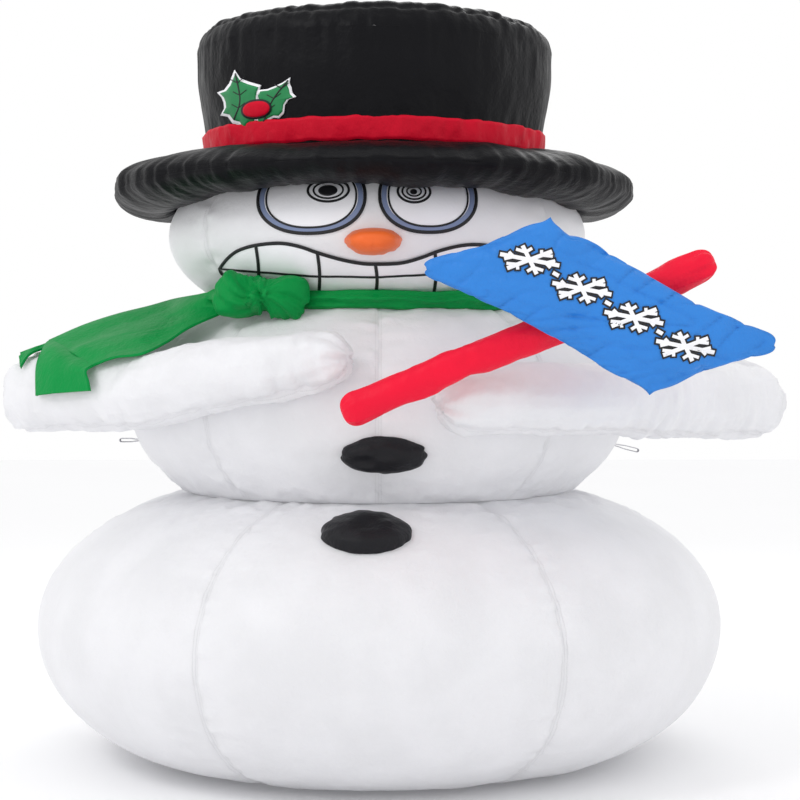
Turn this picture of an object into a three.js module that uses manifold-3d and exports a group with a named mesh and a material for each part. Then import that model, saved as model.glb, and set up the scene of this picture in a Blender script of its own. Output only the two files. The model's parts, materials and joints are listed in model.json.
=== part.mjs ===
// Inflatable yard snowman, seen from the front along +Y, with +X to the viewer's right and +Z up.
// The origin is the centre of the round floor panel, on the ground. All sizes are millimetres.
// Sewn fabric panels are thin shells around one connected air space, which holds the blower and the lights.
// Angles of panels and seams are degrees around Z, counted from the front towards +X.

import * as THREE from 'three';
import { mergeVertices } from 'three/addons/utils/BufferGeometryUtils.js';
import Module from 'manifold-3d';

const wasm = await Module();
wasm.setup();

// ---------- driving dimensions ----------

const gap = 0.3; // between neighbouring pieces
const cloth = 2; // modelled thickness of a sewn panel
const floorInset = 3; // the floor panel's edge, inside the flat sides of the gores around it
const layer = 1.2; // modelled thickness of an appliqué, and its height above the panel it is sewn to

const base = { radius: 854, middle: 330, floorRadius: 445, neckRadius: 381, topRise: 328, waist: 653 };
const torso = { x: -4, radius: 625, middle: 864, rise: 325, neck: 1121 };
const head = { x: -10, radius: 521, middle: 1291, rise: 241.5, top: 1425 };
const hat = {
  x: -15, sides: 32, baseRadius: 427, radius: 445, foot: 1486, full: 1627, shoulder: 1749, top: 1830,
};
const crownCorner = { radius: 71, rise: 66 };
const brim = { radius: 656, tip: 1416, saddle: 17 };
const band = { foot: 1490, top: 1546, thickness: 3 };

const baseSeams = [-28, 28, 90, 152, 208, 270];
const torsoSeams = [-40, 0, 40, 90, 180, 270];
const headSeams = [-52, 52, 128, 232];

const eye = { width: 248, height: 150, middle: 1345, left: -158, right: 108 };
const nose = { x: -15, z: 1249, width: 128, height: 62, length: 95 };
const mouth = { left: -380, right: 352, corner: 1203, foot: 1150 };
const button = { width: 196, height: 84, proud: 34 };

const leftArm = [
  { at: [-470, -50, 1020], r: 88 },
  { at: [-640, -110, 985], r: 95 },
  { at: [-822, -200, 903], r: 93 },
  { at: [-530, -455, 912], r: 84 },
  { at: [-355, -582, 947], r: 77 },
  { at: [-128, -640, 980], r: 65 },
];
const rightArm = [
  { at: [470, -50, 1020], r: 88 },
  { at: [680, -120, 965], r: 92 },
  { at: [893, -210, 884], r: 87 },
  { at: [620, -435, 897], r: 86 },
  { at: [400, -600, 893], r: 79 },
  { at: [193, -668, 889], r: 73 },
];

const sign = {
  middle: [460, 1094], y: -835, long: [471, -262], short: [270, 102], thickness: 58, corner: 18, puff: 12,
};
const post = { from: [-48, 877], to: [680, 1180], y: -768, radius: 35 };

const ringSides = 36;
const scarfRing = { outer: 450, foot: 1100, top: 1142, inner: 396 };
const webbing = { height: 11, width: 25, strap: 2.2, pivot: 8 };
const tether = { left: { height: 779, length: 52, droop: 0 }, right: { height: 766, length: 66, droop: 14 } };
const stakeRing = { radius: 622, drop: 31 };

const blower = { height: 215, tilt: 22, barrel: 84, wall: 3, depth: 128, flange: 112 };
const impeller = { radius: 72, depth: 34, blades: 7, from: 24 };
const motor = { radius: 31, depth: 52, from: 66 };
const shaft = { radius: 4, bore: 4.06 };

const zip = { angle: 152, arc: 266, middle: 330, top: 22, foot: -24, width: 32 };
const slider = { length: 22, width: 13, height: 7 };
const pull = { length: 34, width: 8, height: 2.4 };

const lead = { radius: 3, clearance: 14 };
const lampHeights = [470, 880, 1290];

// ---------- materials ----------

const finish = (color, roughness, metalness = 0) =>
  new THREE.MeshStandardMaterial({ color, roughness, metalness });
const materials = {
  white: finish(0xe9e9ee, 0.55),
  black: finish(0x1d1d20, 0.5),
  red: finish(0xd0123a, 0.5),
  postRed: finish(0xe4173c, 0.5),
  green: finish(0x06984a, 0.55),
  blue: finish(0x2f86dc, 0.5),
  orange: finish(0xee6a25, 0.55),
  print: finish(0xf4f4f6, 0.6),
  button: finish(0x26262a, 0.5),
  webbing: finish(0xd8d8dc, 0.8),
  plastic: finish(0x202226, 0.6),
  steel: finish(0xb8babd, 0.35, 1),
  zipper: finish(0xcfd0d4, 0.7),
  lamp: finish(0xf6f8ff, 0.3),
  lead: finish(0xe6e6e8, 0.6),
};

// ---------- small helpers ----------

const radians = (degrees) => (degrees * Math.PI) / 180;
const lerp = (a, b, t) => a + (b - a) * t;
const vector = (list) => new THREE.Vector3(...list);
const around = (radius, degrees, z) =>
  new THREE.Vector3(radius * Math.sin(radians(degrees)), -radius * Math.cos(radians(degrees)), z);

function mesh(name, geometry, material) {
  const piece = new THREE.Mesh(geometry, material);
  piece.name = name;
  return piece;
}

function group(pieces, x = 0, y = 0, z = 0) {
  const holder = new THREE.Group();
  holder.add(...pieces);
  holder.position.set(x, y, z);
  return holder;
}

// Points of an elliptical arc in the (radius, height) plane, from one angle to another, in degrees.
function arc(centreRadius, centreHeight, a, b, from, to, steps) {
  return Array.from({ length: steps + 1 }, (_, i) => {
    const t = radians(lerp(from, to, i / steps));
    return new THREE.Vector2(centreRadius + a * Math.cos(t), centreHeight + b * Math.sin(t));
  });
}

// The same outline moved along its own normals: outwards where by is positive.
function offsetOutline(points, by) {
  return points.map((point, i) => {
    const before = points[Math.max(i - 1, 0)];
    const after = points[Math.min(i + 1, points.length - 1)];
    const along = after.clone().sub(before).normalize();
    return new THREE.Vector2(point.x + along.y * by, point.y - along.x * by);
  });
}

// ---------- closed meshes ----------

function closedGeometry(vertices, triangles) {
  const geometry = new THREE.BufferGeometry();
  const numbers = vertices.flatMap((v) => [v.x, v.y, v.z]);
  geometry.setAttribute('position', new THREE.Float32BufferAttribute(numbers, 3));
  const volume = triangles.reduce((sum, [a, b, c]) => {
    const normal = vertices[b].clone().cross(vertices[c]);
    return sum + vertices[a].dot(normal);
  }, 0);
  const facing = volume < 0 ? triangles.map(([a, b, c]) => [a, c, b]) : triangles;
  geometry.setIndex(facing.flat());
  geometry.computeVertexNormals();
  return geometry;
}

// A sheet with thickness. pointAt(row, column, side) gives its corners: side 0 is the outside, 1 the inside.
function sheetGeometry(rows, columns, pointAt) {
  const vertices = [];
  const triangles = [];
  const index = (row, column, side) => (side * (rows + 1) + row) * (columns + 1) + column;
  for (let side = 0; side < 2; side += 1) {
    for (let row = 0; row <= rows; row += 1) {
      for (let column = 0; column <= columns; column += 1) {
        vertices.push(pointAt(row, column, side));
      }
    }
  }
  const quad = (a, b, c, d) => triangles.push([a, b, c], [a, c, d]);
  for (let row = 0; row < rows; row += 1) {
    for (let column = 0; column < columns; column += 1) {
      const corners = [[row, column], [row, column + 1], [row + 1, column + 1], [row + 1, column]];
      quad(...corners.map(([i, j]) => index(i, j, 0)));
      quad(...corners.map(([i, j]) => index(i, j, 1)).reverse());
    }
  }
  for (let row = 0; row < rows; row += 1) {
    quad(index(row, 0, 0), index(row + 1, 0, 0), index(row + 1, 0, 1), index(row, 0, 1));
    quad(index(row + 1, columns, 0), index(row, columns, 0),
      index(row, columns, 1), index(row + 1, columns, 1));
  }
  for (let column = 0; column < columns; column += 1) {
    quad(index(0, column + 1, 0), index(0, column, 0), index(0, column, 1), index(0, column + 1, 1));
    quad(index(rows, column, 0), index(rows, column + 1, 0),
      index(rows, column + 1, 1), index(rows, column, 1));
  }
  return closedGeometry(vertices, triangles);
}

// A patch with thickness, bounded by a closed outline of (x, z) points around a centre point.
function patchGeometry(outline, centre, rings, surface) {
  const count = outline.length;
  const vertices = [];
  const triangles = [];
  const index = (ring, spoke, side) => side * (1 + rings * count) + 1 + (ring - 1) * count + (spoke % count);
  for (let side = 0; side < 2; side += 1) {
    vertices.push(surface(centre.x, centre.y, side));
    for (let ring = 1; ring <= rings; ring += 1) {
      for (const point of outline) {
        const t = ring / rings;
        vertices.push(surface(lerp(centre.x, point.x, t), lerp(centre.y, point.y, t), side));
      }
    }
  }
  const middle = [0, 1 + rings * count];
  for (let spoke = 0; spoke < count; spoke += 1) {
    triangles.push([middle[0], index(1, spoke, 0), index(1, spoke + 1, 0)]);
    triangles.push([middle[1], index(1, spoke + 1, 1), index(1, spoke, 1)]);
    for (let ring = 1; ring < rings; ring += 1) {
      for (const side of [0, 1]) {
        const quad = [
          index(ring, spoke, side), index(ring + 1, spoke, side),
          index(ring + 1, spoke + 1, side), index(ring, spoke + 1, side),
        ];
        if (side === 1) quad.reverse();
        triangles.push([quad[0], quad[1], quad[2]], [quad[0], quad[2], quad[3]]);
      }
    }
    const rim = [
      index(rings, spoke, 0), index(rings, spoke, 1), index(rings, spoke + 1, 1), index(rings, spoke + 1, 0),
    ];
    triangles.push([rim[0], rim[1], rim[2]], [rim[0], rim[2], rim[3]]);
  }
  return closedGeometry(vertices, triangles);
}

// A solid of revolution about Z from (radius, height) points, which start and end on the axis or close
// on themselves.
function latheGeometry(points, segments) {
  const geometry = new THREE.LatheGeometry(points, segments);
  geometry.rotateX(Math.PI / 2);
  return tidy(geometry);
}

function tidy(source) {
  const geometry = source.index ? source.toNonIndexed() : source.clone();
  geometry.deleteAttribute('normal');
  geometry.deleteAttribute('uv');
  const merged = mergeVertices(geometry, 1e-4);
  const kept = [];
  const index = merged.index.array;
  for (let i = 0; i < index.length; i += 3) {
    const [a, b, c] = [index[i], index[i + 1], index[i + 2]];
    if (a !== b && b !== c && a !== c) kept.push(a, b, c);
  }
  merged.setIndex(kept);
  return merged;
}

function solid(geometry) {
  const clean = tidy(geometry);
  return new wasm.Manifold(new wasm.Mesh({
    numProp: 3,
    vertProperties: Float32Array.from(clean.attributes.position.array),
    triVerts: Uint32Array.from(clean.index.array),
  }));
}

function geometryOf(manifold) {
  const { vertProperties, triVerts } = manifold.getMesh();
  const geometry = new THREE.BufferGeometry();
  geometry.setAttribute('position', new THREE.BufferAttribute(vertProperties, 3));
  geometry.setIndex(new THREE.BufferAttribute(triVerts, 1));
  return geometry;
}

const joined = (geometries) => geometries.map(solid).reduce((sum, piece) => sum.add(piece));
const cut = (body, tools) => tools.reduce((rest, tool) => rest.subtract(tool), body);

// ---------- outlines of the three balls ----------

const waistAngle = THREE.MathUtils.radToDeg(Math.asin((base.waist - gap / 2 - base.middle) / base.topRise));
const baseOutline = [
  ...arc(base.floorRadius, base.middle, base.radius - base.floorRadius, base.middle, -90, 0, 5),
  ...arc(base.neckRadius, base.middle, base.radius - base.neckRadius, base.topRise, 0, waistAngle, 5)
    .slice(1),
];

const heightAngle = (ball, z) => THREE.MathUtils.radToDeg(Math.asin((z - ball.middle) / ball.rise));
const ballOutline = (ball, from, to, steps) =>
  arc(0, ball.middle, ball.radius, ball.rise, heightAngle(ball, from), heightAngle(ball, to), steps);

const torsoOutline = ballOutline(torso, base.waist + gap / 2, torso.neck - gap / 2, 7);
const headOutline = ballOutline(head, torso.neck + gap / 2, head.top, 7);

// A whole ball, grown a little, used to trim what is sewn onto it.
function trimmer(outline, grow, x = 0) {
  const skin = offsetOutline(outline, grow);
  const foot = new THREE.Vector2(0, skin[0].y);
  const top = new THREE.Vector2(0, skin.at(-1).y);
  const geometry = latheGeometry([foot, ...skin, top], 72);
  return solid(geometry.translate(x, 0, 0));
}

const trimGrow = 3.6;
const fine = 24;
const torsoTrim = trimmer(ballOutline(torso, base.waist, torso.neck, fine), trimGrow, torso.x);
const headTrim = trimmer(ballOutline(head, torso.neck, head.top, fine), trimGrow, head.x);
const baseTrim = trimmer(
  arc(base.neckRadius, base.middle, base.radius - base.neckRadius, base.topRise, 0, waistAngle, fine),
  trimGrow);

// ---------- sewn panels ----------

// The part of a ball's skin between two seams, as a thin shell.
function panelGeometry(outline, from, to, columns) {
  const skins = [outline, offsetOutline(outline, -cloth)];
  return sheetGeometry(outline.length - 1, columns, (row, column, side) => {
    const point = skins[side][row];
    const inset = THREE.MathUtils.radToDeg(gap / 2 / outline[row].x);
    return around(point.x, lerp(from + inset, to - inset, column / columns), point.y);
  });
}

function panels(names, outline, seams, step) {
  return names.map((name, i) => {
    const from = seams[i];
    const to = i + 1 < seams.length ? seams[i + 1] : seams[0] + 360;
    const geometry = panelGeometry(outline, from, to, Math.max(4, Math.round((to - from) / step)));
    return mesh(name, geometry, materials.white);
  });
}

function floorPanel() {
  const radius = base.floorRadius - floorInset;
  const profile = [[0, 0], [radius, 0], [radius, cloth], [0, cloth]].map((p) => new THREE.Vector2(...p));
  return mesh('base_floor_panel', latheGeometry(profile, 40), materials.white);
}

function basePanels() {
  const names = ['base_gore_front', 'base_gore_front_right', 'base_gore_back_right', 'base_gore_back',
    'base_gore_back_left', 'base_gore_front_left'];
  const gores = panels(names, baseOutline, baseSeams, 11);
  const back = gores.find((gore) => gore.name === 'base_gore_back');
  back.geometry = geometryOf(solid(back.geometry).subtract(blowerHole()));
  return [floorPanel(), ...gores];
}

function torsoPanels() {
  const names = ['torso_gore_front_left', 'torso_gore_front_right', 'torso_gore_side_right',
    'torso_gore_back_right', 'torso_gore_back_left', 'torso_gore_side_left'];
  return panels(names, torsoOutline, torsoSeams, 12);
}

function headPanels() {
  const names = ['head_face_panel', 'head_gore_right', 'head_gore_back', 'head_gore_left'];
  return panels(names, headOutline, headSeams, 9);
}

// ---------- hat ----------

const crownSide = [
  new THREE.Vector2(hat.baseRadius, hat.foot),
  new THREE.Vector2(lerp(hat.baseRadius, hat.radius, 0.62), lerp(hat.foot, hat.full, 0.45)),
  new THREE.Vector2(hat.radius, hat.full),
  new THREE.Vector2(hat.radius, hat.shoulder),
];

function crownPanel(name, from) {
  const half = hat.sides / 2;
  const skins = [crownSide, offsetOutline(crownSide, -cloth)];
  const geometry = sheetGeometry(crownSide.length - 1, half, (row, column, side) => {
    const inset = THREE.MathUtils.radToDeg(gap / 2 / hat.radius);
    const ends = column === 0 ? inset : column === half ? -inset : 0;
    const height = skins[side][row].y - (row === crownSide.length - 1 ? gap : 0);
    return around(skins[side][row].x, from + (180 * column) / half + ends, height);
  });
  return mesh(name, geometry, materials.black);
}

function crownTop() {
  const { radius, rise } = crownCorner;
  const corner = arc(hat.radius - radius, hat.shoulder, radius, rise, 0, 90, 2);
  const lid = new THREE.Vector2(0, hat.top);
  const shift = new THREE.Vector2(0, -cloth);
  const inside = corner.map((point) =>
    new THREE.Vector2(point.x - cloth, Math.max(point.y - cloth, hat.shoulder)));
  const profile = [...corner, lid, lid.clone().add(shift), ...inside.reverse(), corner[0]];
  return mesh('hat_crown_top', latheGeometry(profile, hat.sides), materials.black);
}

// The brim is one folded sheet, open towards the crown. Its underside hangs lower at the sides than in front.
function hatBrim() {
  const upper = [[433, 1480], [520, 1475], [600, 1452], [brim.radius - 5, brim.tip + 12]];
  const lower = [[brim.radius - 6, brim.tip - 14], [618, 1374], [572, 1359], [522, 1364]];
  const outside = [...upper, [brim.radius, brim.tip], ...lower].map((p) => new THREE.Vector2(...p));
  const inside = offsetOutline(outside, cloth);
  const geometry = latheGeometry([...outside, ...inside.reverse(), outside[0]].reverse(), hat.sides);
  const position = geometry.attributes.position;
  for (let i = 0; i < position.count; i += 1) {
    const [x, y] = [position.getX(i), position.getY(i)];
    const reach = THREE.MathUtils.smoothstep(Math.hypot(x, y), hat.radius, 540);
    const side = (x * x - y * y) / (x * x + y * y);
    const z = position.getZ(i);
    const under = 1 - THREE.MathUtils.smoothstep(z, brim.tip - 20, brim.tip + 20);
    position.setZ(i, z - brim.saddle * reach * side * under);
  }
  return mesh('hat_brim', geometry, materials.black);
}

function crownRadius(z) {
  return THREE.MathUtils.mapLinear(Math.min(z, hat.full), hat.foot, hat.full, hat.baseRadius, hat.radius) + 3;
}

function hatBand() {
  const heights = [band.foot, (band.foot + band.top) / 2, band.top];
  const inside = heights.map((z) => new THREE.Vector2(crownRadius(z), z));
  const outside = heights.map((z) => new THREE.Vector2(crownRadius(z) + band.thickness, z));
  const outline = [...outside, ...inside.reverse(), outside[0]];
  return mesh('hat_band', latheGeometry(outline, hat.sides), materials.red);
}

// Holly appliqué: leaves with concave sides between their spines, given as (x, height) points.
const holly = {
  left: [[-343, 1660], [-313, 1632], [-286, 1622], [-293, 1598], [-299, 1545], [-325, 1531],
    [-349, 1553], [-377, 1574], [-369, 1598], [-384, 1621], [-355, 1634]],
  right: [[-214, 1631], [-212, 1611], [-202, 1592], [-226, 1577], [-238, 1553], [-263, 1550],
    [-289, 1542], [-284, 1592], [-281, 1612], [-244, 1617]],
  berry: { x: -292, z: 1572, width: 66, height: 36 },
};

function onCrown(lift, thickness) {
  return (x, z, side) => {
    const radius = hat.radius + lift + (side === 0 ? thickness : 0);
    const local = x - hat.x;
    return new THREE.Vector3(local, -Math.sqrt(radius * radius - local * local), z);
  };
}

function hollyPieces() {
  const leaf = (name, points, centre) => {
    const outline = points.map((p) => new THREE.Vector2(...p));
    const geometry = patchGeometry(outline, new THREE.Vector2(...centre), 1, onCrown(3.5, layer));
    return mesh(name, geometry, materials.green);
  };
  const { x, z, width, height } = holly.berry;
  const rim = arc(x, z, width / 2, height / 2, 0, 330, 11);
  const berry = patchGeometry(rim, new THREE.Vector2(x, z), 1, onCrown(3.5 + layer + 1, layer));
  return [
    leaf('holly_leaf_left', holly.left, [-332, 1597]),
    leaf('holly_leaf_right', holly.right, [-252, 1588]),
    mesh('holly_berry', berry, materials.red),
  ];
}

// ---------- face ----------

// A point on the front of the head at x, z, lifted off its skin.
function onHead(lift, thickness) {
  return (x, z, side) => {
    const grow = lift + (side === 0 ? thickness : 0);
    const level = (z - head.middle) / (head.rise + grow);
    const radius = (head.radius + grow) * Math.sqrt(1 - level * level);
    const local = x - head.x;
    return new THREE.Vector3(local, -Math.sqrt(radius * radius - local * local), z);
  };
}

function eyePatch(name, x) {
  const rim = arc(x, eye.middle, eye.width / 2, eye.height / 2, 0, 342, 19);
  const geometry = patchGeometry(rim, new THREE.Vector2(x, eye.middle), 2, onHead(layer + 0.8, layer));
  return mesh(name, geometry, materials.print);
}

// The mouth's upper edge waves up over each cheek and down under the nose.
function mouthTop(x) {
  const across = (x - mouth.left) / (mouth.right - mouth.left);
  const arch = Math.pow(Math.sin(Math.PI * across), 0.35);
  const wave = 0.5 - 0.5 * Math.cos(4 * Math.PI * across);
  return mouth.corner + arch * (3 + 44 * wave);
}

function mouthPatch() {
  const [columns, rows] = [20, 3];
  const surface = onHead(layer + 0.8, layer);
  const geometry = sheetGeometry(rows, columns, (row, column, side) => {
    const x = lerp(mouth.left, mouth.right, column / columns);
    const across = column / columns;
    const drop = mouth.corner - 14 - mouth.foot;
    const foot = mouth.corner - 14 - drop * Math.pow(Math.sin(Math.PI * across), 0.5);
    return surface(x, lerp(mouthTop(x), foot, row / rows), side);
  });
  return mesh('mouth_patch', geometry, materials.print);
}

function carrotNose() {
  const skin = [[1, -0.6], [1, 0.1], [0.9, 0.42], [0.68, 0.74], [0.36, 0.95], [0, 1]];
  const profile = [[0, -0.6], ...skin].map(([r, y]) => new THREE.Vector2(r, y));
  const geometry = new THREE.LatheGeometry(profile, 16);
  geometry.scale(nose.width / 2, nose.length, nose.height / 2);
  geometry.rotateX(Math.PI);
  const root = onHead(0, 0)(nose.x, nose.z, 1);
  geometry.translate(nose.x, root.y + 8, nose.z);
  return mesh('carrot_nose', geometryOf(cut(solid(geometry), [headTrim])), materials.orange);
}

// ---------- buttons ----------

// A stuffed button: a squashed ball set on a slope, trimmed by the body behind it.
function stuffedButton(name, at, slope, height, trim) {
  const geometry = new THREE.SphereGeometry(1, 14, 8);
  geometry.scale(button.width / 2, button.proud, height / 2);
  geometry.rotateX(radians(slope));
  geometry.translate(...at);
  return mesh(name, geometryOf(cut(solid(geometry), [trim])), materials.button);
}

// ---------- arms ----------

// A tapered, round-ended length of sleeve between two balls of the chain.
function sleeveLink(a, b) {
  const [from, to] = [vector(a.at), vector(b.at)];
  const length = from.distanceTo(to);
  const lean = THREE.MathUtils.radToDeg(Math.asin((a.r - b.r) / length));
  const start = arc(0, 0, a.r, a.r, -90, lean, 3);
  const end = arc(0, length, b.r, b.r, lean, 90, 3);
  const profile = [...start, ...end];
  profile[0].x = 0;
  profile.at(-1).x = 0;
  const geometry = new THREE.LatheGeometry(profile, 12);
  const along = to.clone().sub(from).normalize();
  const turn = new THREE.Quaternion().setFromUnitVectors(new THREE.Vector3(0, 1, 0), along);
  geometry.applyQuaternion(turn);
  return geometry.translate(from.x, from.y, from.z);
}

function armSleeve(name, chain) {
  const links = chain.slice(1).map((ball, i) => sleeveLink(chain[i], ball));
  return mesh(name, geometryOf(cut(joined(links), [torsoTrim, ringTrim()])), materials.white);
}

// ---------- sign ----------

function signBoard() {
  const [long, short] = [new THREE.Vector2(...sign.long), new THREE.Vector2(...sign.short)];
  const inset = 1 - (2 * sign.puff) / long.length();
  const corners = [[-1, -1], [1, -1], [1, 1], [-1, 1]].map(([a, b]) =>
    long.clone().multiplyScalar((a / 2) * inset).addScaledVector(short, (b / 2) * inset));
  const towards = (from, to) => from.clone().addScaledVector(to.clone().sub(from).normalize(), sign.corner);
  const outline = new THREE.Shape();
  corners.forEach((corner, i) => {
    const start = towards(corner, corners[(i + 3) % 4]);
    const end = towards(corner, corners[(i + 1) % 4]);
    if (i === 0) outline.moveTo(start.x, start.y);
    else outline.lineTo(start.x, start.y);
    outline.quadraticCurveTo(corner.x, corner.y, end.x, end.y);
  });
  const depth = sign.thickness - 2 * sign.puff;
  const geometry = new THREE.ExtrudeGeometry(outline, {
    depth, bevelThickness: sign.puff, bevelSize: sign.puff, bevelSegments: 2, curveSegments: 4,
  });
  geometry.translate(0, 0, -depth / 2);
  geometry.rotateX(Math.PI / 2);
  geometry.translate(sign.middle[0], sign.y, sign.middle[1]);
  return mesh('sign_board', tidy(geometry), materials.blue);
}

function signPost() {
  const ball = ([x, z]) => ({ at: [x, post.y, z], r: post.radius });
  return mesh('sign_post', tidy(sleeveLink(ball(post.from), ball(post.to))), materials.postRed);
}

// ---------- scarf ----------

function scarfRingProfile(grow = 0) {
  const { outer, foot, top, inner } = scarfRing;
  const middle = (foot + top) / 2;
  const points = [
    [outer - 4, foot - grow], [outer + grow, middle], [outer - 6, top + grow],
    [outer - 30, top + grow], [inner, middle + 1], [outer - 14, foot - grow],
  ];
  return [...points, points[0]].map((p) => new THREE.Vector2(...p));
}

function scarfNeckBand() {
  return mesh('scarf_neck_band', latheGeometry(scarfRingProfile(), ringSides), materials.green);
}

// The band grown a little, used to trim what lies against it.
function ringTrim() {
  return solid(latheGeometry(scarfRingProfile(1), ringSides).translate(torso.x, 0, 0));
}

const knotLobes = [
  { at: [-322, -388, 1132], size: [70, 46, 60] },
  { at: [-222, -430, 1122], size: [68, 44, 52] },
];

function scarfKnot() {
  const lobes = knotLobes.map(({ at, size }) =>
    new THREE.SphereGeometry(1, 12, 8).rotateX(Math.PI / 2).scale(...size).translate(...at));
  const knot = cut(joined(lobes), [headTrim, torsoTrim, ringTrim()]);
  return mesh('scarf_knot', geometryOf(largestBody(knot)), materials.green);
}

function largestBody(manifold) {
  return manifold.decompose().reduce((best, piece) => (piece.volume() > best.volume() ? piece : best));
}

// A flat length of doubled scarf between two edges, each a smooth curve through hand-set points.
function ribbonGeometry(backEdge, frontEdge, steps, bulge) {
  const [back, front] = [backEdge, frontEdge].map((list) => new THREE.CatmullRomCurve3(list.map(vector)));
  const columns = 4;
  const thickness = 5;
  return sheetGeometry(steps, columns, (row, column, side) => {
    const t = row / steps;
    const [a, b] = [back.getPoint(t), front.getPoint(t)];
    const along = back.getTangent(t).add(front.getTangent(t));
    const up = along.cross(b.clone().sub(a)).normalize();
    if (up.z + up.x * -0.4 < 0) up.negate();
    const across = column / columns;
    const rise = bulge * Math.sin(Math.PI * across) + (side === 0 ? thickness : 0);
    return a.lerp(b, across).addScaledVector(up, rise);
  });
}

function scarfTail() {
  const back = [
    [-428, -262, 1136], [-508, -118, 1128], [-572, -118, 1110],
    [-648, -136, 1090], [-726, -166, 1062], [-800, -212, 1025],
  ];
  const front = [
    [-374, -348, 1088], [-442, -404, 1054], [-490, -452, 1020],
    [-541, -500, 994], [-603, -476, 982], [-654, -453, 962],
  ];
  return mesh('scarf_tail', ribbonGeometry(back, front, 12, 6), materials.green);
}

const tailEnd = {
  back: [[-806, -238, 1014], [-812, -308, 966], [-805, -354, 897]],
  front: [[-666, -474, 952], [-664, -478, 934], [-660, -474, 911]],
};

function scarfTailEnd() {
  return mesh('scarf_tail_end', ribbonGeometry(tailEnd.back, tailEnd.front, 5, 3), materials.green);
}

function scarfUnderTail() {
  const back = [[-808, -178, 1014], [-838, -192, 1009], [-870, -212, 996]];
  const front = [[-818, -238, 1004], [-840, -268, 990], [-854, -296, 960]];
  return mesh('scarf_under_tail', ribbonGeometry(back, front, 4, 0), materials.green);
}

// ---------- webbing loops ----------

// A strap folded into a flat loop that points along -Z from its pivot, open along Y.
function strapLoop(length) {
  const outer = stadium(length, webbing.height / 2);
  outer.holes.push(stadium(length - 2 * webbing.strap, webbing.height / 2 - webbing.strap, webbing.strap));
  const settings = { depth: webbing.width, bevelEnabled: false, curveSegments: 4 };
  const geometry = new THREE.ExtrudeGeometry(outer, settings);
  geometry.translate(0, webbing.height / 2, -webbing.width / 2);
  return tidy(geometry.rotateX(Math.PI / 2));
}

// A round-ended outline of the given length, hanging down from y = -start.
function stadium(length, radius, start = 0) {
  const shape = new THREE.Shape();
  shape.moveTo(radius, -start - radius);
  shape.absarc(0, -start - radius, radius, 0, Math.PI, false);
  shape.lineTo(-radius, -start - length + radius);
  shape.absarc(0, -start - length + radius, radius, Math.PI, 2 * Math.PI, false);
  shape.closePath();
  return shape;
}

function tetherTab(name, side, { height, length, droop }) {
  const level = (height - torso.middle) / torso.rise;
  const root = torso.radius * Math.sqrt(1 - level * level) + webbing.pivot;
  const piece = mesh(name, strapLoop(length), materials.webbing);
  piece.rotation.y = side * radians(90 - droop) * -1;
  piece.position.set(torso.x + side * root, 0, height);
  return piece;
}

function stakeLoop(name, degrees, turn) {
  const piece = mesh(name, strapLoop(stakeRing.drop), materials.webbing);
  const fold = stakeRing.drop - webbing.height / 2 + 1;
  piece.position.copy(around(stakeRing.radius, degrees, fold));
  piece.rotation.z = radians(turn);
  return piece;
}

// ---------- blower ----------

// Everything here is built along +Z of its own frame, which is the outward axis of the tilted barrel.
const tube = (outer, inner, from, to, segments = 24) => latheGeometry(
  [[inner, from], [outer, from], [outer, to], [inner, to], [inner, from]].map((p) => new THREE.Vector2(...p)),
  segments);
const rod = (radius, from, to, segments = 20) => latheGeometry(
  [[0, from], [radius, from], [radius, to], [0, to]].map((p) => new THREE.Vector2(...p)), segments);
const bar = (width, height, depth, z) => new THREE.BoxGeometry(width, height, depth).translate(0, 0, z);

const blowerLevel = (base.middle - blower.height) / base.middle;
const blowerSeat = base.floorRadius
  + (base.radius - base.floorRadius) * Math.sqrt(1 - blowerLevel * blowerLevel);

function toBlowerPlace(object) {
  object.rotation.x = -radians(90 + blower.tilt);
  object.position.set(0, blowerSeat + 4, blower.height);
  return object;
}

function blowerHole() {
  const tool = new THREE.Mesh(rod(blower.barrel + 2, -100, 60, 24));
  toBlowerPlace(tool).updateMatrix();
  return solid(tool.geometry.applyMatrix4(tool.matrix));
}

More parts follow.
